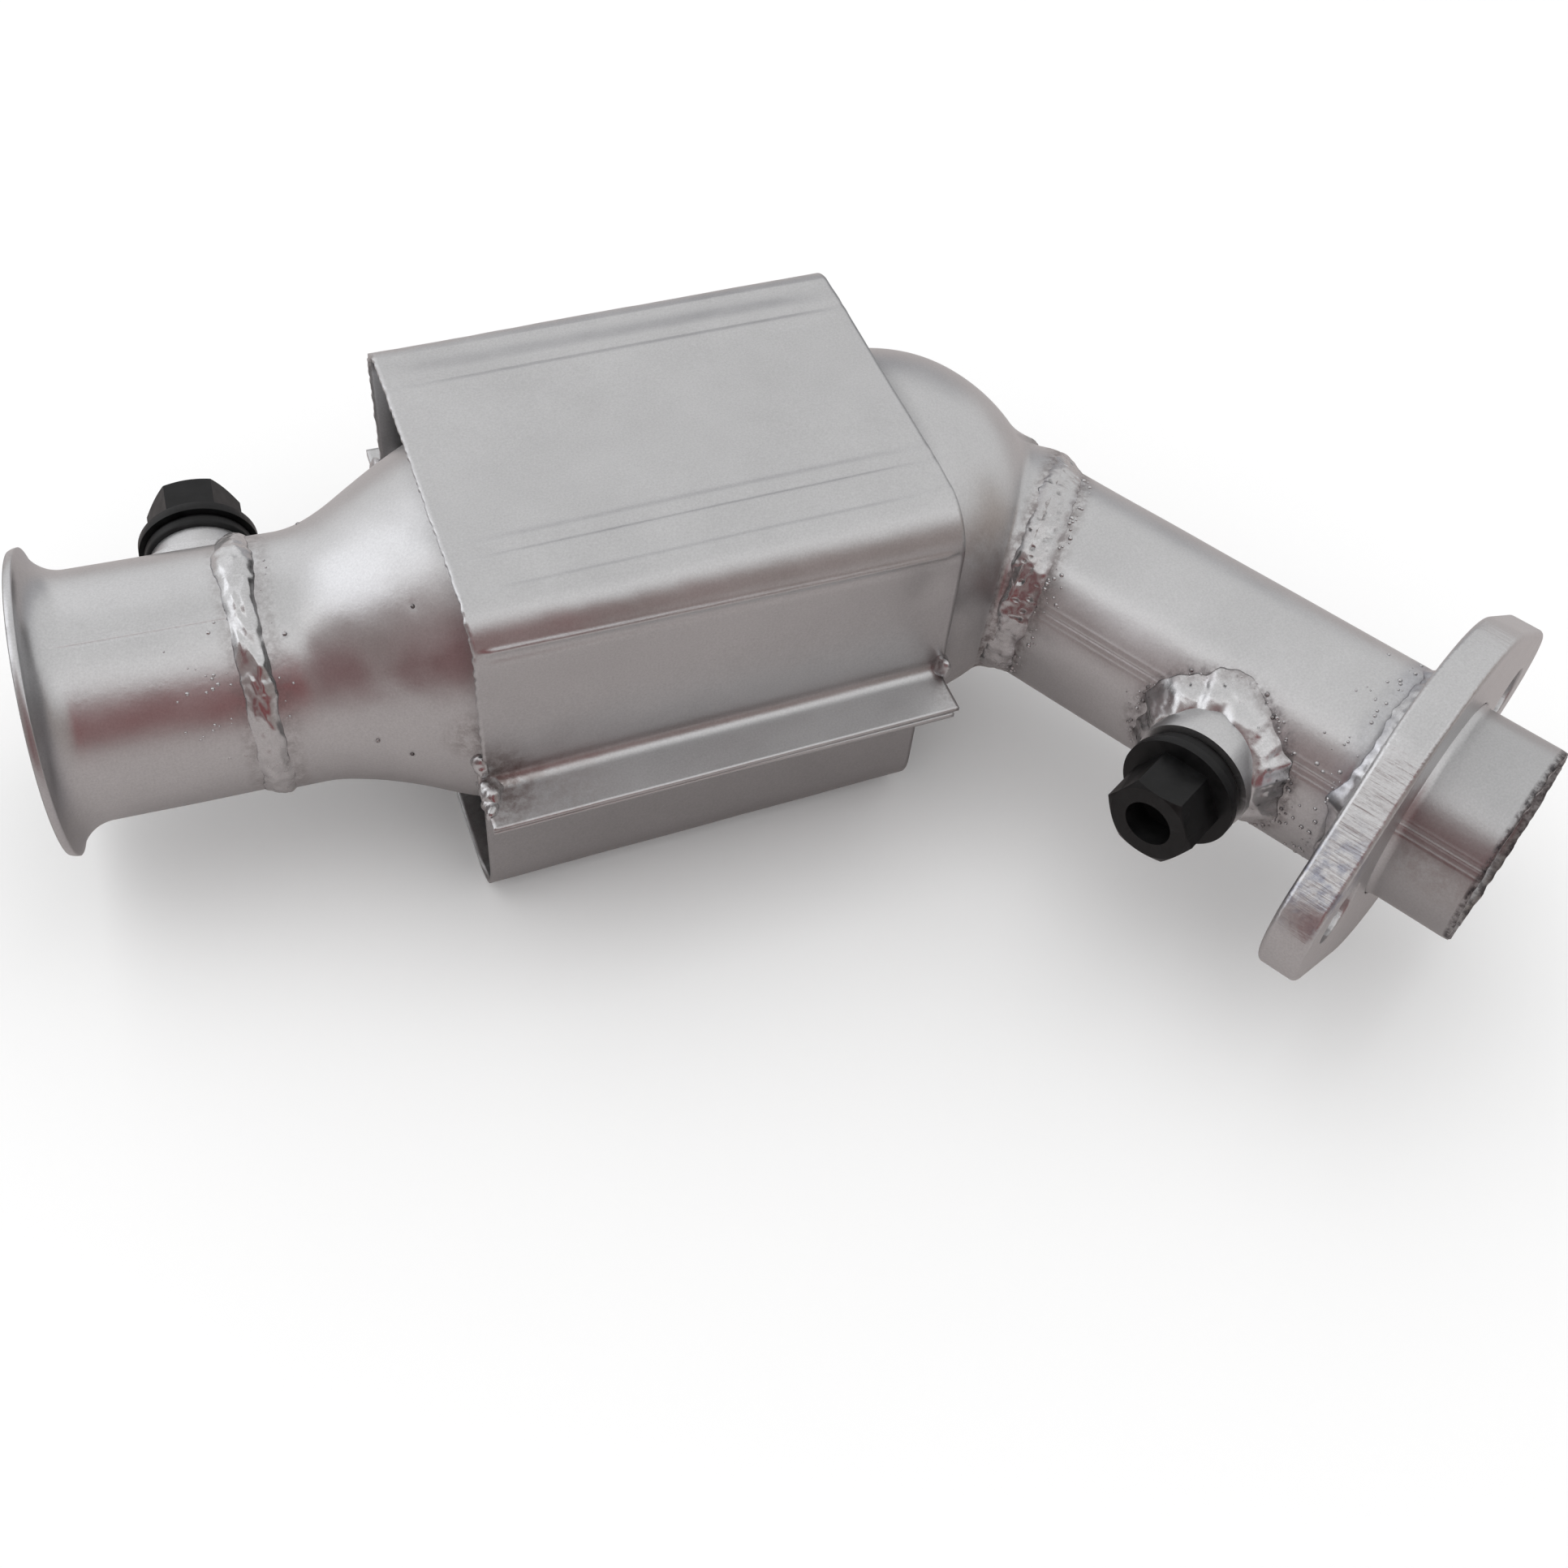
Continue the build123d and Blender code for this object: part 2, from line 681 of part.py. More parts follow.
with BuildPart() as inlet_gasket:
    add(gasket_part(inlet_boss_axis, inlet_boss_seat))
finish(inlet_gasket, "inlet_gasket")

with BuildPart() as outlet_gasket:
    add(gasket_part(outlet_boss_axis, outlet_boss_seat))
finish(outlet_gasket, "outlet_gasket")

with BuildPart() as inlet_plug:
    add(plug_part(inlet_boss_axis, inlet_boss_seat))
finish(inlet_plug, "inlet_plug")

with BuildPart() as outlet_plug:
    add(plug_part(outlet_boss_axis, outlet_boss_seat))
finish(outlet_plug, "outlet_plug")

# Stand-off clips between the can and the wall of the upper shield
def inner_wall(height):
    """Distance from the can's line to the inner face of the upper shield's wall."""
    lean = radians(wall_draft)
    return shield_half_width - (height - seam_z) * tan(lean) - shield_sheet / cos(lean)


clip_bottom = seam_z + clip_low
clip_web = clip_bottom + clip_leg
clip_top = clip_web + clip_leg
clip_foot = can_r + gap

with BuildPart() as shield_clips:
    for side in (-1, 1):
        for clip_x in (shield_start + clip_inset, shield_end - clip_inset):
            with BuildSketch(section.offset(clip_x - shield_start - clip_width / 2)):
                with BuildLine():
                    Polyline(
                        (side * inner_wall(clip_bottom), clip_bottom),
                        (side * inner_wall(clip_web), clip_web),
                        (side * clip_foot, clip_web),
                        (side * clip_foot, clip_top),
                        (side * (clip_foot - clip_lap), clip_top),
                        (side * (clip_foot - clip_lap), clip_web - clip_sheet),
                        (side * (inner_wall(clip_web) - clip_sheet), clip_web - clip_sheet),
                        (side * (inner_wall(clip_bottom) - clip_sheet), clip_bottom),
                        close=True,
                    )
                make_face()
                with Locations((0, can_rise)):
                    Circle(clip_foot, mode=Mode.SUBTRACT)
            extrude(amount=clip_width)
finish(shield_clips, "shield_clips")

# Tack welds that hold the shield's ends to the cone and the cap
tack_z = seam_z + tack_rise

with BuildPart() as shield_tack_welds:
    for side in (-1, 1):
        for tack_x in (shield_start + tack_inset, shield_end - tack_inset):
            with BuildSketch(Plane(origin=(tack_x, can_y, tack_z), x_dir=(1, 0, 0), z_dir=(0, side, 0))):
                Circle(tack_r)
            extrude(amount=shield_half_width)
    add(cone_solid(-gap), mode=Mode.SUBTRACT)
    with BuildSketch(can_axis.offset(can_start)):
        Circle(can_r + gap)
    extrude(amount=shield_length, mode=Mode.SUBTRACT)
    with BuildSketch(section.offset(-end_step)):
        with BuildLine():
            Polyline(
                (-inner_wall(shield_bottom), shield_bottom),
                (-inner_wall(shield_top), shield_top),
                (inner_wall(shield_top), shield_top),
                (inner_wall(shield_bottom), shield_bottom),
                close=True,
            )
        make_face()
    extrude(amount=shield_length + 2 * end_step, mode=Mode.INTERSECT)
finish(shield_tack_welds, "shield_tack_welds")
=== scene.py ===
from math import atan2, copysign, cos, pi, radians, sin, sqrt, tan, tau
import bpy
import numpy as np
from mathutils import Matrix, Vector


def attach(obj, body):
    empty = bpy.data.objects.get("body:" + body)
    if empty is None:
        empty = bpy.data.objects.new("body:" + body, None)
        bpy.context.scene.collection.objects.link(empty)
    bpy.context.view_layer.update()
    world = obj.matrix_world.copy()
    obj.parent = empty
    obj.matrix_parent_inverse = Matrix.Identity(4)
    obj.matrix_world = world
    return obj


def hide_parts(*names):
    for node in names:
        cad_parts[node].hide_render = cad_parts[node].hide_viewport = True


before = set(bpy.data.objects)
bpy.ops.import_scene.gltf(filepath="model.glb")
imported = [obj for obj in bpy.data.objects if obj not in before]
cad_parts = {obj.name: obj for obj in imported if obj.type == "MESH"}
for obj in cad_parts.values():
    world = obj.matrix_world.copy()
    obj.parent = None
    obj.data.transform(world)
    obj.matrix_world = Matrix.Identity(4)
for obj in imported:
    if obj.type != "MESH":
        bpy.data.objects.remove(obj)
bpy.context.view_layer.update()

print("frame loaded")

mm = 0.001


def sized(**values):
    # settings given in millimetres, kept in metres
    return {key: value * mm for key, value in values.items()}


# the pipes and the can, as in the frame
inlet = sized(radius=27.8, wall=1.8, end=47.5, flareRadius=8.4, reach=84.4)
inlet.update(turn=radians(3.4), flareSweep=radians(75))
can = sized(radius=43.4, rise=2.55, start=97.85, end=182.85, capStart=192.35, capDepth=43, sheet=1.5)
outlet = sized(x=214.53, z=0.15, radius=25.4, wall=1.8, seatRadius=24.65, spigotRadius=24.2,
               seatStart=122.5, seatTaper=3, spigotTaper=1, flangeBack=124.4, flangeFace=133.8, end=153.45)
outlet.update(turn=radians(61.07), lift=radians(2.13))

zUp = np.array([0.0, 0.0, 1.0])
inletAxis = np.array([cos(inlet["turn"]), -sin(inlet["turn"]), 0.0])
inletSide = np.array([sin(inlet["turn"]), cos(inlet["turn"]), 0.0])    # level, to the far side
canY = -inlet["reach"] * sin(inlet["turn"])
outletAxis = np.array([cos(outlet["lift"]) * cos(outlet["turn"]),
                       -cos(outlet["lift"]) * sin(outlet["turn"]), sin(outlet["lift"])])
outletSide = np.cross(outletAxis, zUp)
outletSide /= np.linalg.norm(outletSide)                               # level, to the can's side
outletUp = np.cross(outletSide, outletAxis)
outletStart = np.array([outlet["x"], canY, outlet["z"]])


def ease(low, high, value):
    # 0 below low, 1 above high, and a cubic ease between
    share = np.clip((value - low) / (high - low), 0, 1)
    return share * share * (3 - 2 * share)


def fade(low, high, value):
    # 1 below low and 0 above high
    return 1 - ease(low, high, value)


def bell(value, middle, width):
    # one at the middle and nothing a few widths away
    return np.exp(-((value - middle) / width) ** 2)


def lumps(seed, points, size, waves=26):
    # sum of random plane waves through space, of about this wavelength, about -1..1 in height
    dice = np.random.default_rng(seed)
    total = np.zeros(points.shape[:-1])
    for _ in range(waves):
        heading = dice.normal(size=3)
        heading *= tau / size * dice.uniform(0.6, 1.5) / np.linalg.norm(heading)
        total += np.sin(points @ heading + dice.uniform(0, tau))
    return total * 0.8 / sqrt(waves)


def layers(points, *each):
    # lumps added up: each layer has its seed, its wavelength in millimetres and its height
    return sum(height * lumps(seed, points, size * mm) for seed, size, height in each)


def unit(vectors):
    # the vectors at length one
    return vectors / np.linalg.norm(vectors, axis=-1, keepdims=True)


def gap(points, place):
    # how far each point lies from a place
    return np.linalg.norm(points - place, axis=-1)


def wrapped(turn):
    # the same turn between -pi and pi
    return (turn + pi) % tau - pi


def evenTurns(count):
    return np.linspace(0, tau, count, endpoint=False)


def gridOf(rows, columns):
    return np.meshgrid(rows, columns, indexing="ij")


def beside(start, axis, up, side):
    # makes the function that gives points beside an axis, turned from up towards the side
    def place(station, radius, turn):
        direction = np.cos(turn)[..., None] * up + np.sin(turn)[..., None] * side
        return start + station[..., None] * axis + radius[..., None] * direction
    return place


onInlet = beside(np.zeros(3), inletAxis, zUp, inletSide)
onOutlet = beside(outletStart, outletAxis, outletUp, outletSide)


def outletPlace(points):
    # station, distance from the axis and turn of points beside the outlet axis
    offset = points - outletStart
    station, level, upward = offset @ outletAxis, offset @ outletSide, offset @ outletUp
    return station, np.hypot(level, upward), np.arctan2(level, upward)


def seamTurns(spec, radius):
    # even turns round a pipe, with finer ones beside its seam
    even = evenTurns(spec["around"])
    fine = spec["seam"] % tau + np.linspace(-2.8 * mm, 2.8 * mm, 29) / radius
    kept = even[np.abs(even - spec["seam"] % tau) > 3 * mm / radius]
    return np.sort(np.concatenate([kept, fine]))


def gridFaces(rows, columns, wrapRows, wrapColumns):
    # quads of a grid whose rows or columns may close on themselves
    r = np.arange(rows if wrapRows else rows - 1)
    r, c = gridOf(r, np.arange(columns if wrapColumns else columns - 1))
    r2, c2 = (r + 1) % rows, (c + 1) % columns
    quads = np.stack([r * columns + c, r2 * columns + c, r2 * columns + c2, r * columns + c2], -1)
    return quads.reshape(-1, 4)


def outward(points, faces):
    # turns the faces round if the closed mesh would be inside out
    corners = points - points.mean(0)
    a, b, c, d = (corners[faces[:, k]] for k in range(4))
    volume = (np.einsum("ij,ij->i", a, np.cross(b, c)) + np.einsum("ij,ij->i", a, np.cross(c, d))).sum()
    return faces if volume > 0 else faces[:, ::-1]


def addMesh(name, points, faces, material, attributes, replaces=()):
    # one mesh object from arrays of points and quads, riding on the only body
    mesh = bpy.data.meshes.new(name)
    mesh.vertices.add(len(points))
    mesh.vertices.foreach_set("co", points.astype(np.float32).ravel())
    mesh.loops.add(faces.size)
    mesh.loops.foreach_set("vertex_index", faces.astype(np.int32).ravel())
    mesh.polygons.add(len(faces))
    mesh.polygons.foreach_set("loop_start", np.arange(0, faces.size, 4, dtype=np.int32))
    mesh.polygons.foreach_set("use_smooth", np.ones(len(faces), dtype=bool))
    mesh.update(calc_edges=True)
    mesh.validate()
    for key, values in attributes.items():
        layer = mesh.attributes.new(key, "FLOAT", "POINT")
        layer.data.foreach_set("value", np.clip(values, 0, 1).astype(np.float32).ravel())
    piece = bpy.data.objects.new(name, mesh)
    bpy.context.scene.collection.objects.link(piece)
    mesh.materials.append(material)
    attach(piece, "root")
    if replaces:
        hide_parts(*replaces)


def ring(name, grid, material, attributes, replaces):
    # closed ring: rows run round the section and columns round the axis
    points = grid.reshape(-1, 3)
    faces = outward(points, gridFaces(grid.shape[0], grid.shape[1], True, True))
    addMesh(name, points, faces, material, attributes, replaces)


def tube(name, outer, inner, stainsAndShade, replaces, inside):
    # a painted tube's outer rows and every fifth inner row; the stains and painted shade are those of the
    # outside, and the inside has its own or none
    inner = inner[::-5]
    blank = np.zeros(inner.shape[:2])
    attributes = {key: np.concatenate([value, inside.get(key, 0) + blank]) for key, value in stainsAndShade.items()}
    ring(name, np.concatenate([outer, inner]), paint, attributes, replaces)


def sheetShell(name, outer, inner, attributes, replaces):
    # a pressed sheet with an outer and an inner grid of the same shape, closed along its four edges
    rows, columns = outer.shape[:2]
    points = np.concatenate([outer.reshape(-1, 3), inner.reshape(-1, 3)])
    count = rows * columns
    top = gridFaces(rows, columns, False, False)
    index = np.arange(count).reshape(rows, columns)
    edge = np.concatenate([index[0, :], index[1:, -1], index[-1, -2::-1], index[-2:0:-1, 0]])
    after = np.roll(edge, -1)
    rim = np.stack([edge, edge + count, after + count, after], -1)
    faces = np.concatenate([top, top[:, ::-1] + count, rim[:, ::-1]])
    both = {key: np.concatenate([np.ravel(v), np.ravel(v)]) for key, v in attributes.items()}
    addMesh(name, points, outward(points, faces), sheetPaint, both, replaces)


def newMaterial(name):
    material = bpy.data.materials.new(name)
    material.use_nodes = True
    return material, material.node_tree.nodes["Principled BSDF"]


def setInputs(node, inputs):
    # each input takes a node's output, a number or a colour
    for key, value in inputs.items():
        socket = node.inputs[key]
        if isinstance(value, tuple):
            socket.default_value = (*value, 1.0)
        elif isinstance(value, (int, float)):
            socket.default_value = value
        else:
            node.id_data.links.new(value, socket)


def addNode(tree, kind, inputs):
    node = tree.nodes.new(kind)
    setInputs(node, inputs)
    return node


def noiseNode(place, scale, detail=4.0, roughness=0.55, distortion=0.0):
    inputs = {"Scale": scale, "Detail": detail, "Roughness": roughness, "Distortion": distortion,
              "Vector": place}
    return addNode(place.id_data, "ShaderNodeTexNoise", inputs).outputs["Fac"]


def rangeNode(value, low, high, floor=0.0, ceiling=1.0):
    inputs = {"From Min": low, "From Max": high, "To Min": floor, "To Max": ceiling, "Value": value}
    return addNode(value.id_data, "ShaderNodeMapRange", inputs).outputs["Result"]


def mathNode(operation, first, second):
    node = addNode(first.id_data, "ShaderNodeMath", {0: first, 1: second})
    node.operation = operation
    return node.outputs[0]


def mixColor(share, first, second):
    node = share.id_data.nodes.new("ShaderNodeMix")
    node.data_type = "RGBA"
    setInputs(node, {0: share, 6: first, 7: second})
    return node.outputs[2]


def bumpNode(height, distance, strength, under=None):
    inputs = {"Strength": strength, "Distance": distance, "Height": height}
    if under is not None:
        inputs["Normal"] = under
    return addNode(height.id_data, "ShaderNodeBump", inputs).outputs["Normal"]


def attributeNode(tree, name):
    node = tree.nodes.new("ShaderNodeAttribute")
    node.attribute_name = name
    return node.outputs["Fac"]


def objectPlace(tree):
    return tree.nodes.new("ShaderNodeTexCoord").outputs["Object"]


# the shade colour is painted shade, mixed in where the shade attribute says
silver = {"light": (0.57, 0.568, 0.572), "dark": (0.465, 0.462, 0.466), "rust": (0.20, 0.105, 0.08),
          "soot": (0.06, 0.058, 0.062), "blue": (0.15, 0.17, 0.26), "shade": (0.05, 0.05, 0.055),
          "metallic": 0.95, "roughness": 0.32}


def silverPaint(name, grain=1.0, wave=1.0, roughness=silver["roughness"], shade=1.0):
    # thin silver paint: fine speckle, slow clouding, soft waves, and stains and painted shade where the
    # attributes say
    material, shader = newMaterial(name)
    tree = material.node_tree
    place = objectPlace(tree)
    speckle = noiseNode(place, 2100, 2.0, 0.7)
    cloud = noiseNode(place, 48, 5.0, 0.6)
    peel = noiseNode(place, 560, 3.0, 0.6)
    slow = noiseNode(place, 34, 2.0, 0.5)
    crumble = noiseNode(place, 420, 5.0, 0.7)
    tone = mathNode("ADD", mathNode("MULTIPLY", speckle, 0.6), mathNode("MULTIPLY", cloud, 0.4))
    dark, light = (tuple(part * shade for part in silver[key]) for key in ("dark", "light"))
    color = mixColor(rangeNode(tone, 0.34, 0.66), dark, light)
    for key, pattern, low, high in (("rust", crumble, 0.35, 0.6), ("blue", cloud, 0.35, 0.65),
                                    ("soot", crumble, 0.42, 0.60)):
        stain = mathNode("MULTIPLY", attributeNode(tree, key), rangeNode(pattern, low, high))
        color = mixColor(stain, color, silver[key])
    # painted shade: the shade attribute darkens the paint towards near black in hollows, creases, insides
    # and under the shield
    color = mixColor(attributeNode(tree, "shade"), color, silver["shade"])
    # the last stain is the soot, which also dulls the paint
    rough = mathNode("ADD", rangeNode(cloud, 0.3, 0.7, roughness - 0.04, roughness + 0.06),
                     mathNode("MULTIPLY", stain, 0.25))
    normal = bumpNode(slow, 0.0005 * wave, 0.5)
    normal = bumpNode(peel, 0.00005 * grain, 0.6, normal)
    normal = bumpNode(speckle, 0.000018 * grain, 0.6, normal)
    setInputs(shader, {"Base Color": color, "Roughness": rough, "Metallic": silver["metallic"],
                       "Normal": normal})
    return material


paint = silverPaint("silverPaint")
sheetPaint = silverPaint("sheetPaint", 0.8, 0.9, 0.34, 0.97)
weldPaint = silverPaint("weldPaint", 1.0, 0.4, 0.26, 1.03)

sawnStain = {"place": (0.2345, -0.139, 0.0215), "reach": 15 * mm, "core": 5 * mm, "strength": 0.55}


def sawnSteel(name):
    # painted plate whose cut rim shows fine strokes along the outlet's axis
    material = silverPaint(name, 1.3, 0.8)
    tree = material.node_tree
    shader = tree.nodes["Principled BSDF"]
    under, before = (shader.inputs[key].links[0].from_socket for key in ("Normal", "Base Color"))
    turned = tree.nodes.new("ShaderNodeMapping")
    turned.vector_type = "TEXTURE"
    turned.inputs["Rotation"].default_value = Vector(outletAxis).to_track_quat("Z", "Y").to_euler()
    turned.inputs["Scale"].default_value = (1, 1, 14)                # strokes 14 times as long as wide
    place = objectPlace(tree)
    setInputs(turned, {"Vector": place})
    normal = bumpNode(noiseNode(turned.outputs["Vector"], 620, 3.0, 0.65), 0.00026, 0.6, under)
    normal = bumpNode(noiseNode(place, 170, 3.0, 0.6), 0.0006, 0.4, normal)
    # a patch of blue heat stain where the weld runs over the plate's back edge
    near = tree.nodes.new("ShaderNodeVectorMath")
    near.operation = "DISTANCE"
    near.inputs[1].default_value = sawnStain["place"]
    setInputs(near, {0: place})
    patch = rangeNode(near.outputs["Value"], sawnStain["reach"], sawnStain["core"])
    blotch = rangeNode(noiseNode(place, 300, 4.0, 0.6), 0.45, 0.62)
    share = mathNode("MULTIPLY", mathNode("MULTIPLY", patch, blotch), sawnStain["strength"])
    setInputs(shader, {"Normal": normal, "Base Color": mixColor(share, before, silver["blue"])})
    return material


def blackOxide(name):
    # dull black coat with a faint cloud and fine grit
    material, shader = newMaterial(name)
    place = objectPlace(material.node_tree)
    cloud = noiseNode(place, 240, 4.0, 0.6)
    color = mixColor(rangeNode(cloud, 0.3, 0.7), (0.004, 0.004, 0.0042), (0.012, 0.012, 0.0125))
    setInputs(shader, {"Base Color": color, "Roughness": rangeNode(cloud, 0.3, 0.7, 0.36, 0.5),
                       "Metallic": 0.3, "Specular IOR Level": 0.3,
                       "Normal": bumpNode(noiseNode(place, 2600, 3.0, 0.6), 0.00003, 0.5)})
    return material


def ceramicWash(name):
    # coated ceramic: chalky, with darker speckles
    material, shader = newMaterial(name)
    place = objectPlace(material.node_tree)
    color = mixColor(noiseNode(place, 160, 5.0, 0.6), (0.42, 0.36, 0.29), (0.60, 0.55, 0.47))
    setInputs(shader, {"Base Color": color, "Roughness": 0.9,
                       "Normal": bumpNode(noiseNode(place, 1500, 3.0, 0.6), 0.0001, 0.6)})
    return material


def fibreMat(name):
    # pressed fibres that lie round the can, drawn as twisted noise
    material, shader = newMaterial(name)
    fibres = noiseNode(objectPlace(material.node_tree), 900, 6.0, 0.75, 1.5)
    color = mixColor(rangeNode(fibres, 0.3, 0.7), (0.40, 0.38, 0.34), (0.72, 0.70, 0.64))
    setInputs(shader, {"Base Color": color, "Roughness": 0.95, "Normal": bumpNode(fibres, 0.0003, 0.7)})
    return material


sawn = sawnSteel("sawnSteel")
black = blackOxide("blackOxide")
ceramic = ceramicWash("ceramicWash")
fibre = fibreMat("fibreMat")
print("materials made")

pipeIn = {"around": 260, "along": 80, "flareSteps": 24, "lipSteps": 8, "seam": radians(-19),
          **sized(lipBulge=0.12, seamDeep=0.22, scuffAt=22, scuffDeep=0.10)}


def buildInletPipe():
    # a section walked from the lip along the outside and back inside, turned about the axis;
    # the lip is an arc that leaves the straight wall, and the seam is a hairline groove
    bend, wall = inlet["flareRadius"], inlet["wall"]
    sweep = np.linspace(inlet["flareSweep"], 0, pipeIn["flareSteps"])
    flareEnd = (bend + wall) * sin(inlet["flareSweep"])
    straight = np.linspace(flareEnd, inlet["end"], pipeIn["along"] + 1)[1:]

    def face(arc, radius):
        # radius and station along one face, over the flare and then the straight wall
        flare = inlet["radius"] + bend - arc * np.cos(sweep)
        return (np.concatenate([flare, np.full(len(straight), radius)]),
                np.concatenate([flareEnd - arc * np.sin(sweep), straight]))

    outerR, outerS = face(bend, inlet["radius"])
    innerR, innerS = face(bend + wall, inlet["radius"] - wall)
    lip = np.linspace(0, 1, pipeIn["lipSteps"])[1:-1]
    lipR = innerR[0] + (outerR[0] - innerR[0]) * lip + pipeIn["lipBulge"] * np.sin(lip * pi)
    lipS = innerS[0] + (outerS[0] - innerS[0]) * lip
    turn = seamTurns(pipeIn, inlet["radius"])
    radius, turnGrid = gridOf(np.concatenate([lipR, outerR, innerR[::-1]]), turn)
    station = gridOf(np.concatenate([lipS, outerS, innerS[::-1]]), turn)[0]
    outerMask = gridOf(np.concatenate([np.ones(len(lip) + len(outerR)), np.zeros(len(innerR))]), turn)[0]
    rest = onInlet(station, radius, turnGrid)
    behindLip = ease(4 * mm, 9 * mm, station)
    radius = radius + mm * layers(rest, (3, 26, 0.07)) * behindLip
    across = wrapped(turnGrid - pipeIn["seam"]) * inlet["radius"]
    groove = (bell(across, 0, 0.3 * mm) + 0.5 * bell(across, 1.3 * mm, 0.25 * mm)
              + 0.4 * bell(across, 2.0 * mm, 0.25 * mm))
    radius = radius - pipeIn["seamDeep"] * groove * behindLip * outerMask
    # a small dented patch on top
    scuff = bell(station, pipeIn["scuffAt"], 5 * mm) * bell(turnGrid, tau - 0.05, 0.14)
    radius = radius - pipeIn["scuffDeep"] * scuff * outerMask * (0.6 + lumps(8, rest, 4 * mm))
    nearWeld = ease(38.5 * mm, 41.5 * mm, station) * outerMask
    nearBoss = gap(rest, 37 * mm * inletAxis + 27 * mm * inletSide)
    onLip = fade(-0.3 * mm, 1.2 * mm, station) * np.clip(lumps(5, rest, 12 * mm), 0, 1)
    # the flare's root gets a painted dark reflection, darker and bluer, and the pipe's inside gets painted
    # shade
    root = bell(station, 3.0 * mm, 1.8 * mm) * outerMask
    byBoss = fade(12 * mm, 15 * mm, nearBoss) * outerMask
    attributes = {"soot": 0.18 * nearWeld + 0.5 * byBoss + 0.5 * onLip,
                  "rust": nearWeld * 0.12, "blue": 0.2 * root,
                  "shade": 0.12 * root + 0.35 * (1 - outerMask)}
    ring("inletPipeSkin", onInlet(station, radius, turnGrid), paint, attributes,
         ("inlet_pipe",))


buildInletPipe()
print("inlet pipe made")

# each pit in the cone's paint has its station in millimetres and its turn in degrees
cone = {"around": 260, "along": 121,
        "pits": ((52.7, -30.4), (77.6, -33.7), (71.8, -91.4), (66.0, -84.0), (60.0, 40.0)),
        **sized(mouth=28.6, straight=6.5, turnLead=2, centred=76, flatDeep=0.35, pitWide=0.55,
                pitDeep=0.25)}


def conePoint(station, turn, lift):
    # rings whose middle and heading ease from the pipe's line to the can's line while they widen
    widens = inlet["end"] + cone["straight"]
    grown = ease(widens, can["start"], station)
    radius = cone["mouth"] + (can["radius"] - cone["mouth"]) * grown + lift
    share = ease(widens - cone["turnLead"], cone["centred"], station)[..., None]
    onPipe = station[..., None] * inletAxis
    onCan = np.stack([station * inletAxis[0] + can["start"] * (1 - inletAxis[0]) * share[..., 0],
                      np.full_like(station, canY), np.full_like(station, can["rise"])], -1)
    heading = unit(inletAxis * (1 - share) + np.array([1.0, 0, 0]) * share)
    direction = np.cos(turn)[..., None] * zUp + np.sin(turn)[..., None] * np.cross(zUp, heading)
    return onPipe * (1 - share) + onCan * share + radius[..., None] * direction


def conePits(lift):
    # the places of the pits, this far above the cone
    station, turn = np.array(cone["pits"]).T
    return conePoint(station * mm, np.radians(turn), np.full(len(turn), lift))


def buildCone():
    along = np.linspace(inlet["end"], can["start"], cone["along"])
    station, turnGrid = gridOf(along, evenTurns(cone["around"]))
    rest = conePoint(station, turnGrid, 0 * station)
    lift = mm * layers(rest, (11, 30, 0.10), (12, 9, 0.03))
    # the widening starts with a slightly flat shoulder on the near side
    lift = lift - cone["flatDeep"] * bell(station, 66 * mm, 4 * mm) * bell(turnGrid, tau - 0.9, 0.45)
    pit = sum(bell(gap(rest, centre), 0, cone["pitWide"]) for centre in conePits(0.0))
    lift = lift - cone["pitDeep"] * pit
    nearWeld = fade(50 * mm, 54 * mm, station)
    nearTack = fade(3 * mm, 11 * mm, gap(rest, np.array([84 * mm, canY - 43 * mm, 9 * mm])))
    # painted shade: the cone darkens towards the can, where it runs in under the shield
    stainsAndShade = {"soot": nearWeld * 0.2 + nearTack * 0.28 + 0.8 * pit,
              "rust": nearWeld * 0.12 + nearTack * 0.25,
              "shade": 0.55 * ease(82 * mm, 92 * mm, station)}
    tube("coneSkin", conePoint(station, turnGrid, lift), conePoint(station, turnGrid, lift - can["sheet"]),
         stainsAndShade, ("inlet_cone",), {})


buildCone()
print("cone made")

# beadSteps: where each step of a top bead starts and ends beside the middle, and how far it rises, in
# millimetres
shield = {"along": 120, "draft": radians(0.86),
          "beadSteps": ((21.6, 24.4, 0.50), (24.8, 26.8, -0.52), (26.9, 28.2, 0.48), (28.2, 35.2, -1.04),
                        (35.2, 37.4, 0.58)),
          **sized(start=84.12, length=107.59, top=51.03, halfWidth=47.4, shoulder=12.23, seam=3.32,
                  flange=59.76, fold=3, endStep=1.4, bottom=-50.46, belly=16.05, sheet=1, lowerShort=1,
                  ridgeFrom=43.6, ridgeDrop=2.7, lowerHalf=44.7, pullX=184, pullZ=33, pullDeep=0.5,
                  flangeGape=0.9)}


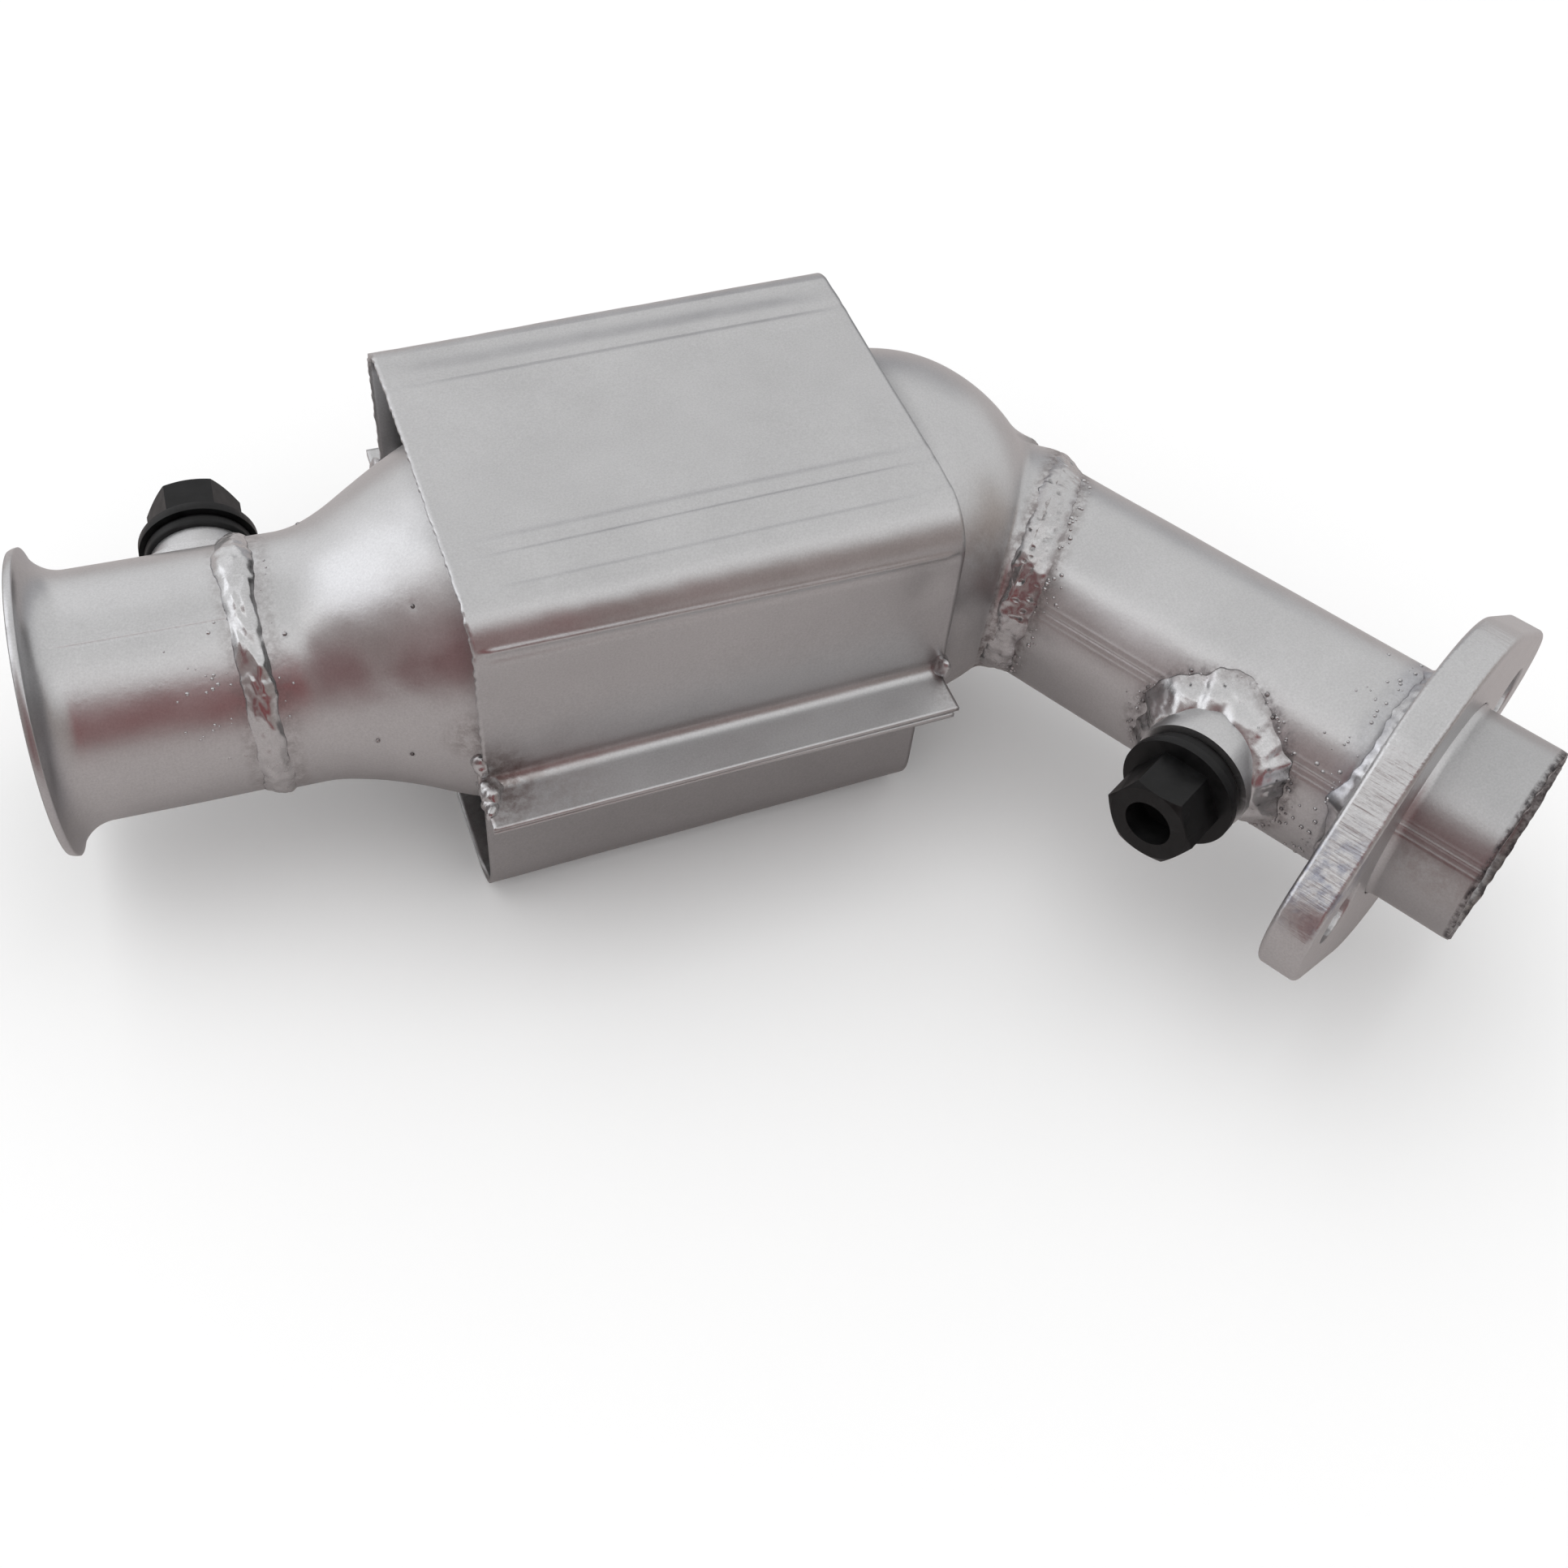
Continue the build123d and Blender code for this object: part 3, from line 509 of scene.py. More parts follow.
def roundedPath(corners, radii, step):
    # a polyline with its inner corners rounded by arcs, and the normal on its left at each sample
    corners = np.asarray(corners, dtype=float)
    samples, normals = [], []

    def straight(first, last, closed):
        way = last - first
        count = max(int(np.linalg.norm(way) / step), 2)
        samples.append(first + way * np.linspace(0, 1, count, endpoint=closed)[:, None])
        normals.append(np.repeat([unit(np.array([-way[1], way[0]]))], count, 0))

    previous = corners[0]
    for corner, after, radius in zip(corners[1:-1], corners[2:], radii):
        arrive, leave = unit(corner - previous), unit(after - corner)
        bend = atan2(arrive[0] * leave[1] - arrive[1] * leave[0], arrive @ leave)
        trim = radius * tan(abs(bend) / 2)
        start = corner - arrive * trim
        straight(previous, start, False)
        side = copysign(1, bend)
        middle = start + np.array([-arrive[1], arrive[0]]) * radius * side
        angle = np.linspace(0, bend, max(int(abs(bend) * radius / (step * 0.5)), 8), endpoint=False)
        spoke = start - middle
        turned = np.stack([spoke[0] * np.cos(angle) - spoke[1] * np.sin(angle),
                           spoke[0] * np.sin(angle) + spoke[1] * np.cos(angle)], -1)
        samples.append(middle + turned)
        normals.append(-turned / radius * side)
        previous = corner + leave * trim
    straight(previous, corners[-1], True)
    return np.concatenate(samples), np.concatenate(normals)


def carrySection(path, normals, xs, lift):
    # the section's points at every station, moved along their normals by the lift
    moved = path[:, None, :] + normals[:, None, :] * lift[..., None]
    return np.stack([xs, moved[..., 0] + canY, moved[..., 1]], -1)


def buildUpperShield():
    s = shield
    shoulderY = s["halfWidth"] - (s["top"] - s["seam"]) * tan(s["draft"])
    corners = [(-s["flange"], s["seam"]), (-s["halfWidth"], s["seam"]), (-shoulderY, s["top"]),
               (shoulderY, s["top"]), (s["halfWidth"], s["seam"]), (s["flange"], s["seam"])]
    path, normals = roundedPath(corners, [s["fold"], s["shoulder"], s["shoulder"], s["fold"]], 0.7 * mm)
    along = np.linspace(0, 1, s["along"])
    start = np.where(path[:, 1] < s["seam"] + s["fold"], s["start"] - s["endStep"], s["start"])
    xs = start[:, None] + s["length"] * along[None, :]
    y, z = path[:, 0][:, None], path[:, 1][:, None]
    fromEnd = np.minimum(xs - s["start"], s["start"] + s["length"] - xs)
    onTop = (z > s["top"] - 2.5 * mm) * (0.35 + 0.65 * ease(0, 16 * mm, fromEnd))
    lift = 0 * xs
    for side in (-1, 1):
        # each top bead is a low ridge, a sharp step up beside it, a slow fall and a rise to the shoulder
        for first, last, rise in s["beadSteps"]:
            lift += rise * mm * ease(first * mm, last * mm, y * side) * onTop
        # the ridge under each shoulder drops a little along the shield
        ridgeZ = s["ridgeFrom"] - s["ridgeDrop"] * along[None, :]
        near = (y * side > shoulderY - s["shoulder"]) * ease(1.2 * mm, 4 * mm, fromEnd)
        ridge = 0.50 * bell(z, ridgeZ, 0.62 * mm) - 0.25 * bell(z, ridgeZ - 1.9 * mm, 0.9 * mm)
        lift += near * ridge * mm
    rest = carrySection(path, normals, xs, lift)
    lift = lift + mm * layers(rest, (21, 38, 0.10), (22, 7, 0.02))
    # the wall is pushed in a little near its outlet end, where the weld pulled it
    pull = bell(xs, s["pullX"], 5 * mm) * bell(z, s["pullZ"], 6 * mm) * (y < 0)
    lift = lift - s["pullDeep"] * pull
    xs = xs + mm * layers(rest, (23, 2.2, 0.16)) * fade(0, 0.012, along)[None, :] * (z > 12 * mm)
    tack = np.array([84 * mm, canY - 50 * mm, 4 * mm])
    nearTack = fade(4 * mm, 14 * mm, gap(rest, tack))
    nearRight = ease(184 * mm, 190 * mm, xs) * fade(5 * mm, 11 * mm, z)
    onFold = bell(z, 5 * mm, 3 * mm) * bell(xs, 100 * mm, 10 * mm) * (y < 0)
    attributes = {"soot": nearTack * 0.3 + nearRight * 0.2,
                  "rust": nearTack * 0.45 + nearRight * 0.2 + 0.25 * onFold}
    sheetShell("upperShieldSkin", carrySection(path, normals, xs, lift),
               carrySection(path, normals, xs, lift - s["sheet"]), attributes, ("upper_heat_shield",))


def buildLowerShield():
    s = shield
    under, half = s["seam"] - 2 * s["sheet"], s["lowerHalf"]
    corners = [(-s["flange"], under), (-half, under), (-half, s["bottom"]), (half, s["bottom"]),
               (half, under), (s["flange"], under)]
    path, normals = roundedPath(corners, [s["fold"], s["belly"], s["belly"], s["fold"]], 1.2 * mm)
    along = np.linspace(0, 1, s["along"])
    low = path[:, 1] > under - s["fold"]
    wall = 1 - low[:, None]
    start = np.where(low, s["start"] - s["endStep"], s["start"])
    end = s["start"] + s["length"] - s["endStep"] - s["lowerShort"]
    xs = start[:, None] + (end - start)[:, None] * along[None, :]
    rest = carrySection(path, normals, xs, 0 * xs)
    # away from the floor the sheet waves a little, and its flange gapes at the outlet end
    free = ease(s["bottom"] + 1 * mm, s["bottom"] + 12 * mm, path[:, 1])[:, None]
    lift = mm * layers(rest, (31, 34, 0.10)) * free
    outer = carrySection(path, normals, xs, lift * wall)
    inner = carrySection(path, normals, xs, lift * wall + s["sheet"])
    outside = ease(50 * mm, 58 * mm, np.abs(path[:, 0]))[:, None]
    for grid in (outer, inner):
        grid[..., 2] -= s["flangeGape"] * (outside * ease(0.35, 1.0, along)[None, :])
    # the lowest band is made darker in the soot and rust colours, and the sheet below its flange gets
    # painted shade
    dull = 0.35 * fade(-50 * mm, -40 * mm, rest[..., 2])
    attributes = {"soot": dull * 0.4, "rust": dull * 0.3, "shade": 0.22 * wall + 0 * dull}
    sheetShell("lowerShieldSkin", outer, inner, attributes, ("lower_heat_shield",))


buildUpperShield()
buildLowerShield()
print("heat shield made")

# outlet weld and neck: the neck ends on a slant, and both follow the same line round the pipe
neck = {"slantSide": radians(68), **sized(weldMiddle=25.3, weldSlant=10.4, weldInset=2.6, edgeInset=1.2,
                                          mouth=27.3, throat=25.9, ball=10, ballRadius=26.9, blend=2.6)}
capShell = {"along": 161, "around": 280, "heart": (205 * mm, -15 * mm, 2 * mm), "halvings": 26,
            "longestRay": 90 * mm, "tint": (0.203, -0.0385, 0.0225)}


def outletWeldMiddle(turn):
    # station of the weld round the outlet pipe, a slanted circle
    return neck["weldMiddle"] + neck["weldSlant"] * np.cos(turn - neck["slantSide"])


def neckRadius(station, turn):
    # the neck opens slightly towards its mouth
    mouth = outletWeldMiddle(turn) - neck["weldInset"]
    return neck["throat"] + (neck["mouth"] - neck["throat"]) * ease(-9 * mm, -1 * mm, station - mouth)


def domeDistance(points, endless=None):
    # how far points lie outside the dome, whose skirt runs back without an end where a length is given
    offset = points - np.array([can["capStart"], canY, can["rise"]])
    depth = can["capDepth"] if endless is None else np.where(offset[..., 0] > 0, can["capDepth"], endless)
    scaled = np.stack([offset[..., 0] / depth, offset[..., 1] / can["radius"],
                       offset[..., 2] / can["radius"]], -1)
    return (np.linalg.norm(scaled, axis=-1) - 1) * can["radius"]


def capDistance(points):
    # how far points lie outside the dome with its skirt, the ball in the elbow and the neck, softly joined
    dome = domeDistance(points, 1e9)
    station, radius, turn = outletPlace(points)
    ball = np.hypot(radius, np.minimum(station - neck["ball"], 0)) - neck["ballRadius"]
    elbow = np.where(station > neck["ball"], radius - neckRadius(station, turn), ball)
    share = np.clip(0.5 + 0.5 * (elbow - dome) / neck["blend"], 0, 1)
    return elbow + (dome - elbow) * share - neck["blend"] * share * (1 - share)


def capCreaseDistance(points):
    # distance from the dome added to that from the neck, near zero in the crease
    station, radius, turn = outletPlace(points)
    return np.abs(domeDistance(points)) + np.abs(radius - neckRadius(station, turn))


def buildCap():
    # rays fan out from the heart of the cap, from the skirt's edge to the neck's mouth, and each is halved
    # until it ends on the joined surface
    turn = evenTurns(capShell["around"])
    heart = np.array(capShell["heart"])
    direction = np.cos(turn)[:, None] * zUp - np.sin(turn)[:, None] * np.array([0, 1.0, 0])
    skirt = np.array([can["end"], canY, can["rise"]]) + can["radius"] * direction
    mouthStation = outletWeldMiddle(turn) - neck["edgeInset"]
    first = unit(skirt - heart)
    last = unit(onOutlet(mouthStation, neckRadius(mouthStation, turn), turn) - heart)
    between = np.arccos(np.clip((first * last).sum(1), -1, 1))[None, :, None]
    share = np.linspace(0, 1, capShell["along"])[:, None, None]
    ray = (np.sin((1 - share) * between) * first + np.sin(share * between) * last) / np.sin(between)
    near, far = np.zeros(ray.shape[:2]), np.full(ray.shape[:2], capShell["longestRay"])
    for _ in range(capShell["halvings"]):
        middle = (near + far) / 2
        outside = capDistance(heart + ray * middle[..., None]) > 0
        far, near = np.where(outside, middle, far), np.where(outside, near, middle)
    outer = heart + ray * near[..., None]
    along = np.gradient(outer, axis=0)
    around = (np.roll(outer, -1, 1) - np.roll(outer, 1, 1)) / 2
    normal = unit(np.cross(along, around))
    normal *= np.sign((normal * ray).sum(-1, keepdims=True))
    outer = outer + normal * (mm * layers(outer, (51, 30, 0.10)))[..., None]
    station, radius, turnGrid = outletPlace(outer)
    nearWeld = fade(3.5 * mm, 8 * mm, outletWeldMiddle(turnGrid) - station) * (radius < 29 * mm)
    tint = fade(3 * mm, 12 * mm, gap(outer, np.array(capShell["tint"])))
    nearShield = fade(191 * mm, 199 * mm, outer[..., 0])
    lowSide = fade(-20 * mm, 5 * mm, outer[..., 2]) * (outer[..., 1] < canY)
    inCrease = bell(capCreaseDistance(outer), 0, 1.2 * mm) * (station > 12 * mm)
    # painted shade: the crease between dome and neck and the dome's foot by the shield's end are darkened,
    # the crease also with a little soot; the tinted spot gets rust and a little darkening, and the low near
    # side of the dome is made darker and browner
    stainsAndShade = {"soot": nearWeld * 0.4 + 0.12 * inCrease,
              "rust": nearWeld * 0.35 + 0.22 * tint + 0.10 * lowSide,
              "shade": 0.10 * tint + 0.25 * inCrease + 0.45 * nearShield}
    tube("outletCapSkin", outer, outer - normal * can["sheet"], stainsAndShade, ("outlet_cap",), {})


buildCap()
print("outlet cap made")

pipeOut = {"around": 280, "along": 171, "seam": radians(60), **sized(behindWeld=7, endWorn=0.15)}
boss = {"turn": radians(85.8), "around": 420, "across": 26, **sized(station=91.2, radius=13.7, width=5.6,
                                                                    height=4.0)}


def buildOutletPipe():
    # straight tube with a slanted hidden end, a hairline seam, a reduced seat and a rough sawn end
    o = outlet
    turn = seamTurns(pipeOut, o["radius"])
    shareGrid, turnGrid = gridOf(np.linspace(0, 1, pipeOut["along"]), turn)
    first = outletWeldMiddle(turnGrid) - pipeOut["behindWeld"]
    station = first + (o["end"] - first) * shareGrid
    toSeat = ease(o["seatStart"] - o["seatTaper"], o["seatStart"], station)
    toSpigot = ease(o["flangeFace"], o["flangeFace"] + o["spigotTaper"], station)
    radius = (o["radius"] - (o["radius"] - o["seatRadius"]) * toSeat
              - (o["seatRadius"] - o["spigotRadius"]) * toSpigot)
    rest = onOutlet(station, radius, turnGrid)
    across = wrapped(turnGrid - pipeOut["seam"]) * o["radius"]
    groove = (-0.13 * bell(across, 0, 0.35 * mm) + 0.08 * bell(across, -1.5 * mm, 0.5 * mm)
              - 0.07 * bell(across, 2.0 * mm, 0.3 * mm))
    lift = groove * mm + mm * layers(rest, (41, 28, 0.05))
    atEnd = ease(o["end"] - 1.5 * mm, o["end"], station)
    rough = 0.16 * mm * layers(rest, (43, 5, 1), (44, 1.8, 0.5)) * atEnd
    outer = onOutlet(station + rough, radius + lift - pipeOut["endWorn"] * atEnd, turnGrid)
    inner = onOutlet(station + rough, radius - o["wall"], turnGrid)
    nearWeld = fade(4.5 * mm, 9 * mm, station - outletWeldMiddle(turnGrid))
    nearFlange = ease(114 * mm, 119.5 * mm, station) * fade(124 * mm, 126 * mm, station)
    bossMiddle = onOutlet(np.array(boss["station"]), np.array(o["radius"]), np.array(boss["turn"]))
    nearBoss = bell(gap(rest, bossMiddle), 19.5 * mm, 2.2 * mm)
    aboveBoss = ease(-8 * mm, 8 * mm, rest[..., 2] - bossMiddle[2])
    rawEnd = ease(o["end"] - 1.3 * mm, o["end"] - 0.4 * mm, station)
    spigotStain = ease(134 * mm, 137 * mm, station) * bell(across, 6 * mm, 7 * mm)
    ahead = ease(o["flangeFace"], o["flangeFace"] + 2 * mm, station)
    sootByBoss = (0.25 + 0.4 * aboveBoss) * nearBoss
    # painted shade: the spigot ahead of the flange face and the pipe's inside are darkened; the raw end is
    # darkened with soot, rust and the shade colour
    stainsAndShade = {"soot": 0.4 * nearWeld + 0.15 * nearFlange + sootByBoss + 1.3 * rawEnd,
              "rust": 0.30 * nearWeld + 0.25 * nearBoss + 0.35 * rawEnd + 0.25 * spigotStain,
              "blue": 0.22 * nearFlange + 0.08 * nearBoss, "shade": 0.19 * ahead + 0.3 * rawEnd}
    within = rawEnd[::-5]
    tube("outletPipeSkin", outer, inner, stainsAndShade, ("outlet_pipe",),
         {"soot": 0.8 * within, "rust": 0.3 * within, "shade": 0.4})


buildOutletPipe()
print("outlet pipe made")

# rough: heights of a bead's lumps, streaks and pits in millimetres, and how much its edges wobble
welds = {"around": 720, "across": 26, "under": 4,
         "inlet": {"middle": 45.1 * mm, "sway": 0.4 * mm, "half": 3.4 * mm, "height": 1.25 * mm,
                   "rough": {"medium": 0.10, "fine": 0.02, "streak": 0.16, "pit": 0.05, "wobble": 0.5}},
         "outlet": {"half": 4.6 * mm, "height": 0.8 * mm,
                    "rough": {"medium": 0.12, "fine": 0.05, "streak": 0.07, "pit": 0.26, "wobble": 0.9}},
         "flange": {"toe": 120.6 * mm, "leg": 2.9 * mm}}


def pits(seed, points):
    # small round hollows where slow lumps meet fast ones
    fast, slow = lumps(seed, points, 2.3 * mm), lumps(seed + 1, points, 9 * mm)
    return ease(0.55, 0.95, fast) * ease(-0.2, 0.4, slow)


def beadRing(name, place, middle, half, leftRadius, rightRadius, height, seed, rough, stainsAndShade, replaces):
    # a bead laid round a pipe: a flat dome across its width, swollen by slow lumps, smeared into long
    # streaks that follow the bead, with finer lumps on top, and closed underneath
    turn = evenTurns(welds["around"])
    over = np.linspace(-1, 1, welds["across"])
    below = np.linspace(1, -1, welds["under"] + 2)[1:-1]
    across, turnGrid = gridOf(np.concatenate([over, below]), turn)
    isOver = np.arange(len(across))[:, None] < len(over)
    base = leftRadius + (rightRadius - leftRadius) * ease(-0.9, 0.7, across)
    line = place(0 * turnGrid + middle(turnGrid), base, turnGrid)
    wobble = mm * layers(line, (seed, 9, 0.55), (seed + 1, 3.5, 0.35)) * rough["wobble"]
    station = middle(turnGrid) + across * half(turnGrid) + wobble * (0.3 + 0.7 * np.abs(across))
    spot = place(station, base, turnGrid)
    dome = np.clip(1 - np.abs(across) ** 2.4, 0, 1)
    drawn = np.stack([(station + 0.25 * base * turnGrid) * 2.6, base * np.cos(turnGrid),
                      base * np.sin(turnGrid)], -1)
    relief = (layers(spot, (seed + 3, 4.2, rough["medium"]), (seed + 4, 1.7, rough["fine"]))
              + layers(drawn, (seed + 5, 5.5, rough["streak"])) - rough["pit"] * pits(seed + 6, spot)) * mm
    swollen = height(turnGrid) * dome * (1 + layers(spot, (seed + 2, 9, 0.3)))
    lift = np.where(isOver, swollen + relief * np.sqrt(dome) - 0.08 * mm, -0.35 * mm)
    grid = place(station, base + lift, turnGrid)
    ring(name, grid, weldPaint, stainsAndShade(across, spot), replaces)


def buildInletWeld():
    w = welds["inlet"]

    def lumpOnTop(turn):
        return bell(wrapped(turn), radians(12), radians(13))

    def stainsAndShade(across, spot):
        edge = ease(0.85, 1.0, np.abs(across))
        return {"soot": (0.12 + 0.6 * (across < 0)) * edge * ease(0.0, 0.3, lumps(63, spot, 5 * mm)),
                "rust": 0.08 * edge, "blue": 0.25 * edge * (across < 0)}

    beadRing("inletWeldBead", onInlet, lambda turn: w["middle"] + w["sway"] * np.cos(turn + 2.0),
             lambda turn: w["half"] * (1 + 0.35 * lumpOnTop(turn)), inlet["radius"], cone["mouth"],
             lambda turn: w["height"] * (1 + 0.9 * lumpOnTop(turn)), 60, w["rough"], stainsAndShade,
             ("inlet_weld",))


def buildOutletWeld():
    w = welds["outlet"]

    def half(turn):
        return w["half"] * (0.82 + 0.22 * ease(-0.5, 0.6, np.cos(turn - radians(60))))

    def height(turn):
        return w["height"] * (1 + 0.8 * bell(wrapped(turn), radians(106), radians(12)))

    def stainsAndShade(across, spot):
        edge, pore = ease(0.55, 1.0, np.abs(across)), pits(76, spot)
        # the pits get soot and painted shade, and the whole bead is a little darker
        return {"soot": 0.4 * edge + 0.7 * pore, "rust": 0.25 * edge + 0.1, "blue": 0.2 * edge,
                "shade": 0.06 + 0.2 * pore}

    beadRing("outletWeldBead", onOutlet, outletWeldMiddle, half, neck["mouth"] - 0.1 * mm, outlet["radius"],
             height, 70, w["rough"], stainsAndShade, ("outlet_weld",))


def buildFlangeWeld():
    # fillet in the corner of the pipe and the flange: across the corner from the pipe to the plate, sagging
    # inwards, with blobs that grow where two runs meet
    w, back = welds["flange"], outlet["flangeBack"]
    turn = evenTurns(welds["around"])
    across, turnGrid = gridOf(np.linspace(0, 1, welds["across"]), turn)
    level = 0 * turnGrid
    spot = onOutlet(level + w["toe"], level + outlet["radius"], turnGrid)
    grow = (1 + layers(spot, (80, 8, 0.13), (81, 3, 0.07)) + 0.6 * bell(turnGrid, radians(66), radians(9))
            + 0.3 * bell(turnGrid, tau - radians(28), 0.12))
    along, up = (back - w["toe"]) * grow, w["leg"] * grow
    sag = 0.22 * np.sin(across * pi)
    station = back - along * (1 - across) + along * sag * 0.6
    radius = outlet["radius"] + up * across - up * sag * 0.4
    surface = onOutlet(station, radius, turnGrid)
    bumpy = mm * np.sin(across * pi) * layers(surface, (82, 3.2, 0.12))
    surface = onOutlet(station - bumpy * 0.7, radius + bumpy * 0.7, turnGrid)
    hidden = onOutlet(back + level[:1], outlet["seatRadius"] + 0.3 * mm + level[:1], turnGrid[:1])
    front = onOutlet(station[:1], radius[:1] - 0.3 * mm, turnGrid[:1])
    edge = np.concatenate([fade(0.0, 0.45, across), level[:2]])
    attributes = {"soot": 0.3 * edge, "rust": 0.05 * edge, "blue": 0.06 + 0.3 * edge}
    ring("flangeWeldBead", np.concatenate([surface, hidden, front]), weldPaint, attributes,
         ("flange_weld",))


buildInletWeld()
buildOutletWeld()
buildFlangeWeld()
print("pipe welds made")


def buildOutletBossWeld():
    # a collar laid round the foot of the boss: from the boss's side down to the pipe's curved face,
    # in fat beads whose size changes as it goes round
    heading = cos(boss["turn"]) * outletUp + sin(boss["turn"]) * outletSide
    cross = np.cross(heading, outletAxis)
    angle = evenTurns(boss["around"])
    down, angleGrid = gridOf(np.linspace(0, 1, boss["across"]), angle)

    def place(reach, lift):
        sideways, onward = (reach * turned(angleGrid[:len(reach)]) for turned in (np.sin, np.cos))
        height = np.sqrt(outlet["radius"] ** 2 - sideways ** 2) + lift
        return (outletStart + (boss["station"] + onward)[..., None] * outletAxis
                + sideways[..., None] * cross + height[..., None] * heading)

    foot = place(0 * down + boss["radius"], 0 * down)
    width = boss["width"] * (1 + layers(foot, (90, 9, 0.20), (91, 3.5, 0.12)))
    tall = boss["height"] * (1 + layers(foot, (92, 8, 0.25)))
    reach = boss["radius"] - 0.2 * mm + width * down
    lift = tall * (1 - down ** 1.5) * (0.72 + 0.28 * np.cos(down * pi / 2))
    surface = place(reach, lift)
    bumpy = layers(surface, (93, 6.5, 0.30), (94, 1.8, 0.04)) * mm * np.sin(down * pi) ** 0.7
    surface = place(reach + 0.6 * bumpy, lift + 0.8 * bumpy - 0.1 * mm * (down > 0.97))
    inner = place(0 * down[:1] + boss["radius"] - 0.25 * mm, 0 * down[:1] - 0.3 * mm)
    edge = np.concatenate([ease(0.55, 1.0, down), 0 * down[:1]])
    pore = np.concatenate([np.clip(lumps(95, surface, 2.2 * mm) - 1.0, 0, 1) * 5, 0 * down[:1]])
    attributes = {"soot": 0.3 * edge + pore, "rust": 0.25 * edge, "blue": 0.05 * edge}
    ring("outletBossWeldBead", np.concatenate([surface, inner]), weldPaint, attributes,
         ("outlet_boss_weld",))


buildOutletBossWeld()
print("boss weld made")

# each blob has its middle and its half sizes in millimetres
blobs = {"rows": 24, "columns": 36, "tip": 0.02,
         "places": (((83.6, -51.6, 8.2), (1.7, 2.2, 3.0)), ((84.6, -54.6, 3.6), (2.6, 4.2, 2.0)),
                    ((83.8, -58.6, 2.6), (1.8, 3.0, 1.8)), ((190.6, -53.4, 5.0), (2.0, 2.6, 3.2)),
                    ((83.4, 41.6, 8.6), (2.0, 2.4, 3.2)), ((190.6, 43.2, 5.0), (2.0, 2.4, 3.0)))}
drop = {"rows": 4, "columns": 8, "first": 0.15, "last": 1.75, "flat": 0.75}


def ballGrid(lean, columns):
    # directions at each lean from the top and each turn
    lean, turn = gridOf(lean, evenTurns(columns))
    return np.stack([np.sin(lean) * np.cos(turn), np.sin(lean) * np.sin(turn), np.cos(lean)], -1)


def buildTackBlobs():
    # squashed balls of weld metal at the shield's corners, pushed in and out by lumps
    rows, last = blobs["rows"], blobs["columns"]
    ball = ballGrid(np.linspace(blobs["tip"], pi - blobs["tip"], rows), last)
    lid = np.arange(0, last - 2, 2)
    lid = np.stack([0 * lid, lid + 1, lid + 2, (lid + 3) % last], -1)
    sides = gridFaces(rows, last, False, True)[:, ::-1]
    one = np.concatenate([sides, lid[:, ::-1], lid + last * (rows - 1)])
    points, faces = [], []
    for place, size in blobs["places"]:
        blob = np.array(place) * mm + ball * np.array(size) * mm
        blob = blob + ball * (mm * layers(blob, (100, 4.2, 0.5), (101, 1.6, 0.06)))[..., None]
        faces.append(one + len(points) * rows * last)
        points.append(blob.reshape(-1, 3))
    points, faces = np.concatenate(points), np.concatenate(faces)
    grime = 0.35 * ease(-0.2, 0.8, lumps(102, points, 4 * mm))
    addMesh("tackBlobs", points, outward(points, faces), weldPaint,
            {"soot": grime, "rust": grime * 0.7, "blue": grime * 0.3})


def droplets(name, centres, normals, radii, dark):
    # low domes sitting on a surface, each a small half ball with a buried rim
    rows, columns = drop["rows"], drop["columns"]
    helper = np.where(np.abs(normals[:, 2:3]) > 0.8, [[1.0, 0, 0]], [[0, 0, 1.0]])
    first = unit(np.cross(normals, helper))
    frames = np.stack([first, np.cross(normals, first), drop["flat"] * normals], 1)
    shape = ballGrid(np.linspace(drop["first"], drop["last"], rows), columns).reshape(-1, 3)
    points = (centres[:, None] + radii[:, None, None] * (shape @ frames)).reshape(-1, 3)
    lid = np.array([[0, 1, 2, 3], [0, 3, 4, 5], [0, 5, 6, 7]])
    sides = gridFaces(rows, columns, False, True)[:, ::-1]
    one = np.concatenate([sides, lid[:, ::-1], lid + (rows - 1) * columns])
    faces = (one[None] + (np.arange(len(centres)) * rows * columns)[:, None, None]).reshape(-1, 4)
    grime = np.repeat(dark, rows * columns)
    addMesh(name, points, outward(points, faces), weldPaint,
            {"soot": grime, "rust": grime * 0.4, "blue": 0 * grime})


